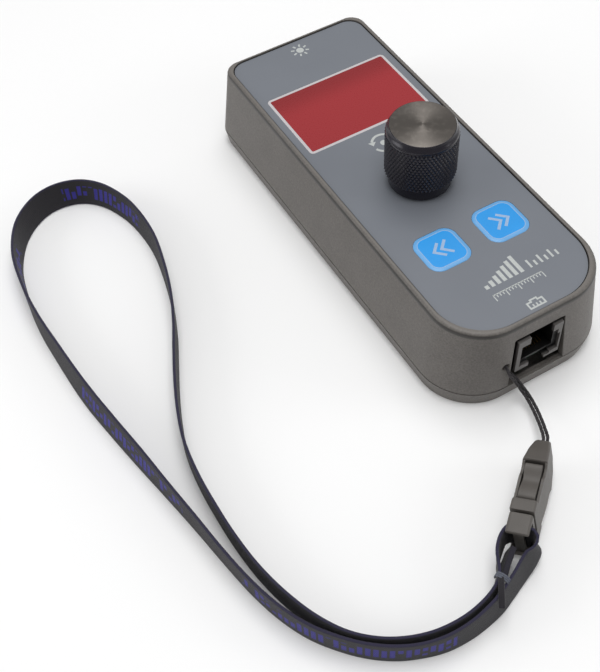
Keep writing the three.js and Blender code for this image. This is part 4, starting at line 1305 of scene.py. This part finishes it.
class ControllerKeys(bpy.types.Operator):
    """Two raised keys of the front film, each with a ring line and a double arrow"""

    bl_idname = "controller.keys"
    bl_label = "Keys"

    def execute(self, context):
        keys = context.scene.controller_keys
        looks = [
            moulded("key margin", keys.margin, 0.36, 0.0003, 0.000004, 0.02),
            ink("key arrow ink", keys.arrow),
            moulded("key face", keys.face, 0.36, 0.0003, 0.000004, 0.02),
        ]
        low = OVERLAY_TOP - 0.4
        profile = [
            (0.02, low), (0.02, OVERLAY_TOP - 0.06), (0.1, OVERLAY_TOP + 0.02), (0.35, OVERLAY_TOP + 0.1),
            (0.75, OVERLAY_TOP + 0.2), (1.17, OVERLAY_TOP + 0.25), (1.37, OVERLAY_TOP + 0.25),
            (1.7, OVERLAY_TOP + 0.26), (2.6, OVERLAY_TOP + KEY_RISE),
        ]
        slots = np.array([0, 0, 0, 0, 0, 1, 2, 2])
        height, half = OVERLAY_TOP + KEY_RISE, KEY_SIZE / 2
        size = {"half": half, "near": -half, "far": half, "near_r": KEY_CORNER, "far_r": KEY_CORNER}
        for name, x, way in (("left", -KEY_X, -1), ("right", KEY_X, 1)):
            rings = [
                raised(inset_plate(size, inset, arc_steps=14, side_steps=5) + [x, KEY_Y], z)
                for inset, z in profile
            ]
            key = Surface().grid(np.array(rings), True, slots).cap(rings[-1], 2).cap(rings[0], 0)
            add(key, prism(circle(2.0, x, KEY_Y, 32), KEY_LOW[2], low + 0.1))
            for shift in (-1.35, 1.35):
                tip = x + way * (1.35 + 0.1) + shift
                arrow = [(tip - way * 2.75, KEY_Y + 2.75), (tip, KEY_Y), (tip - way * 2.75, KEY_Y - 2.75)]
                mark = stroke(arrow, 0.95, height - 0.1, height + 0.02)
                mark.slots = [np.ones(len(part), int) for part in mark.slots]
                add(key, mark)
            pad = key.piece(f"key_pad_{name}", looks=looks)
            dress(pad, f"{name}_key", None, [f"key_{name}"], 40)
        return {"FINISHED"}


class ControllerKnob(bpy.types.Operator):
    """Turned knob: spun top, coved edge, plain band, diamond knurl and a smooth skirt"""

    bl_idname = "controller.knob"
    bl_label = "Knob"

    def execute(self, context):
        knob = context.scene.controller_knob
        samples = 8
        count = knob.diamonds * samples
        turn = np.linspace(0, 2 * np.pi, count, endpoint=False)
        bottom, top = KNOB_BOTTOM, KNOB_TOP
        start, stop, outer = bottom + 4.9, top - 2.9, KNOB_HIGH[0] - KNOB_X
        tall = int(round((stop - start) / (2 * np.pi * outer / knob.diamonds * knob.stretch)))

        # Two families of V grooves wind opposite ways; the deeper of the two cuts at each point.
        across = np.arange(count)[None, :] / samples
        upwards = np.linspace(0, tall, tall * samples * 2 + 1)[:, None]
        groove = [1 - 2 * np.abs((family % 1) - 0.5) for family in (across + upwards, across - upwards)]
        deep = np.maximum(*[np.abs(1 - g) for g in groove])
        reach = outer - (knob.depth / MM) * deep
        knurl = self.turned(reach, start + (stop - start) * upwards / tall, turn)

        below = [
            (0, top - 4.2), (3.3, top - 4.2), (3.3, bottom + 3.2), (7.8, bottom + 3.2), (7.8, bottom + 0.15),
            (7.95, bottom), (9.7, bottom), (9.91, bottom + 0.09), (10, bottom + 0.3), (10, bottom + 3.3),
            (10.12, bottom + 3.5), (10.5, bottom + 4.1), (10.95, bottom + 4.8),
        ]
        above = [
            (11.08, top - 2.85), (10.98, top - 2.72), (11.1, top - 2.6), (11.16, top - 2.5),
            (11.16, top - 1.95), (11.1, top - 1.75), (10.84, top - 1.35), (10.56, top - 0.95),
            (10.36, top - 0.55), (10.24, top - 0.22), (10.18, top - 0.08), (10.12, top - 0.02),
            (10.04, top), (7.0, top), (3.5, top), (0, top),
        ]
        rings = np.concatenate([self.lathe(below, turn), knurl, self.lathe(above, turn)])
        slots = np.zeros(len(rings) - 1, int)
        slots[-3:] = 1
        looks = [
            anodised("black anodised aluminium", knob.colour, 0.24),
            anodised("spun knob face", knob.spun, 0.42, 0.72),
        ]
        body = Surface().grid(rings, True, slots).piece("knob_body", looks=looks)
        combine(body, [bore(circle(1.8, KNOB_X, bottom + 8.1, 24), KNOB_Y + 1.0, KNOB_Y + 14.0)])
        dress(body, "knob", None, ["focus_knob"], 28, False)
        return {"FINISHED"}

    def turned(self, reach, height, turn):
        """Rings of a body turned about the knob's axis, from radius and height at each point."""
        height = np.broadcast_to(height, reach.shape)
        return np.stack([KNOB_X + reach * np.cos(turn), KNOB_Y + reach * np.sin(turn), height], -1)

    def lathe(self, profile, turn):
        """Rings of a plain profile of radius and height."""
        profile = np.array(profile)
        reach = np.broadcast_to(profile[:, :1], (len(profile), len(turn)))
        return self.turned(reach, profile[:, 1:], turn)


class ControllerJack(bpy.types.Operator):
    """Modular jack: a frame with a latch notch, stepped mouth and a cavity darkened by painted shade"""

    bl_idname = "controller.jack"
    bl_label = "Jack"

    def execute(self, context):
        jack = context.scene.controller_jack
        x, front, back = JACK_X, JACK_LOW[1], JACK_HIGH[1]
        low, high = JACK_LOW[2], JACK_HIGH[2]
        body = block(JACK_LOW[0], JACK_HIGH[0], front, back, low + 1.6, high)
        body.name = body.data.name = "jack_body"
        combine(body, [block(JACK_LOW[0], JACK_HIGH[0], front, front + 2.2, low, low + 2.6)], "UNION")
        # Mouth and its side step, cavity, latch slot and notch, notches in the floor and its ledge.
        hollows = (
            (-6.5, 6.5, 1.3, 12.5, 21.9), (6.4, 7.4, 1.3, 12.5, 19.8), (-5.9, 5.9, 12, 13.9, 21.9),
            (-3.1, 3.1, 12, 21, high - 0.9), (-3.6, 4.6, 4.5, 21, high + 1), (-3.0, 2.6, 2.3, 9, 13.2),
            (2.5, 4.6, 2.0, 11.6, 13.2),
        )
        combine(body, [
            block(x + left, x + right, front - 1, front + deep, z0, z1)
            for left, right, deep, z0, z1 in hollows
        ])
        look = socket_plastic(jack, front)
        dress(soften(body, 0.12, 2, 50), "case", look, ["jack_housing"])
        return {"FINISHED"}


class ControllerInside(bpy.types.Operator):
    """Finishes of the boards, switches, screws and contacts, whose shapes come with the frame"""

    bl_idname = "controller.inside"
    bl_label = "Inside parts"

    def execute(self, context):
        inside = context.scene.controller_inside
        steel = metal("plated steel", inside.steel, 0.3)
        gold = metal("gilt contact", inside.gold, 0.25)
        board = solder_mask()
        chip = moulded("component plastic", srgb(40, 40, 42), 0.45, 0.0003, 0.00001)
        glass = moulded("display glass", srgb(24, 26, 30), 0.2, 0.002, 0.000002)
        groups = (
            (glass, "display_panel"), (board, "display_board front_board main_board"),
            (steel, "encoder_housing encoder_washer encoder_nut encoder_shaft knob_grub_screw crystal_can"),
            (chip, "display_header board_connector encoder_plunger key_switch_left key_switch_right"),
            (chip, "switch_plunger_left switch_plunger_right microcontroller line_driver_chip"),
            (chip, "voltage_regulator"),
        )
        finishes = {name: look for look, names in groups for name in names.split()}
        finishes.update({f"jack_contact_{number}": gold for number in range(1, 9)})
        for kind in ("cover_screw", "main_board_screw", "front_board_screw"):
            finishes.update({f"{kind}_{number}": steel for number in range(1, 5)})
        for name, look in finishes.items():
            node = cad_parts[name]
            for slot in node.material_slots:
                slot.material = look
        return {"FINISHED"}


class ControllerPanel(bpy.types.Panel):
    """Lists the groups of pieces and their sizes and colours"""

    bl_idname = "VIEW3D_PT_controller"
    bl_label = "Controller"
    bl_space_type = "VIEW_3D"
    bl_region_type = "UI"
    bl_category = "Controller"

    def draw(self, context):
        for operator, key, _ in GROUPS:
            area = self.layout.box()
            area.operator(operator.bl_idname)
            settings = getattr(context.scene, key)
            for name in settings.__annotations__:
                area.prop(settings, name)


GROUPS = (
    (ControllerStage, "controller_stage", StageSettings),
    (ControllerBuckle, "controller_buckle", BuckleSettings),
    (ControllerCord, "controller_cord", CordSettings),
    (ControllerStrap, "controller_strap", StrapSettings),
    (ControllerCase, "controller_case", CaseSettings),
    (ControllerFront, "controller_front", FrontSettings),
    (ControllerKeys, "controller_keys", KeySettings),
    (ControllerKnob, "controller_knob", KnobSettings),
    (ControllerJack, "controller_jack", JackSettings),
    (ControllerInside, "controller_inside", InsideSettings),
)


def register():
    """Adds the settings, the operators and the panel."""
    for operator, key, settings in GROUPS:
        bpy.utils.register_class(settings)
        bpy.utils.register_class(operator)
        setattr(bpy.types.Scene, key, PointerProperty(type=settings))
    bpy.utils.register_class(ControllerPanel)


def unregister():
    """Removes them again."""
    bpy.utils.unregister_class(ControllerPanel)
    for operator, key, settings in reversed(GROUPS):
        delattr(bpy.types.Scene, key)
        bpy.utils.unregister_class(operator)
        bpy.utils.unregister_class(settings)


def main():
    """Makes every group in order."""
    register()
    for operator, _, _ in GROUPS:
        group, name = operator.bl_idname.split(".")
        getattr(getattr(bpy.ops, group), name)()


if __name__ == "__main__":
    main()
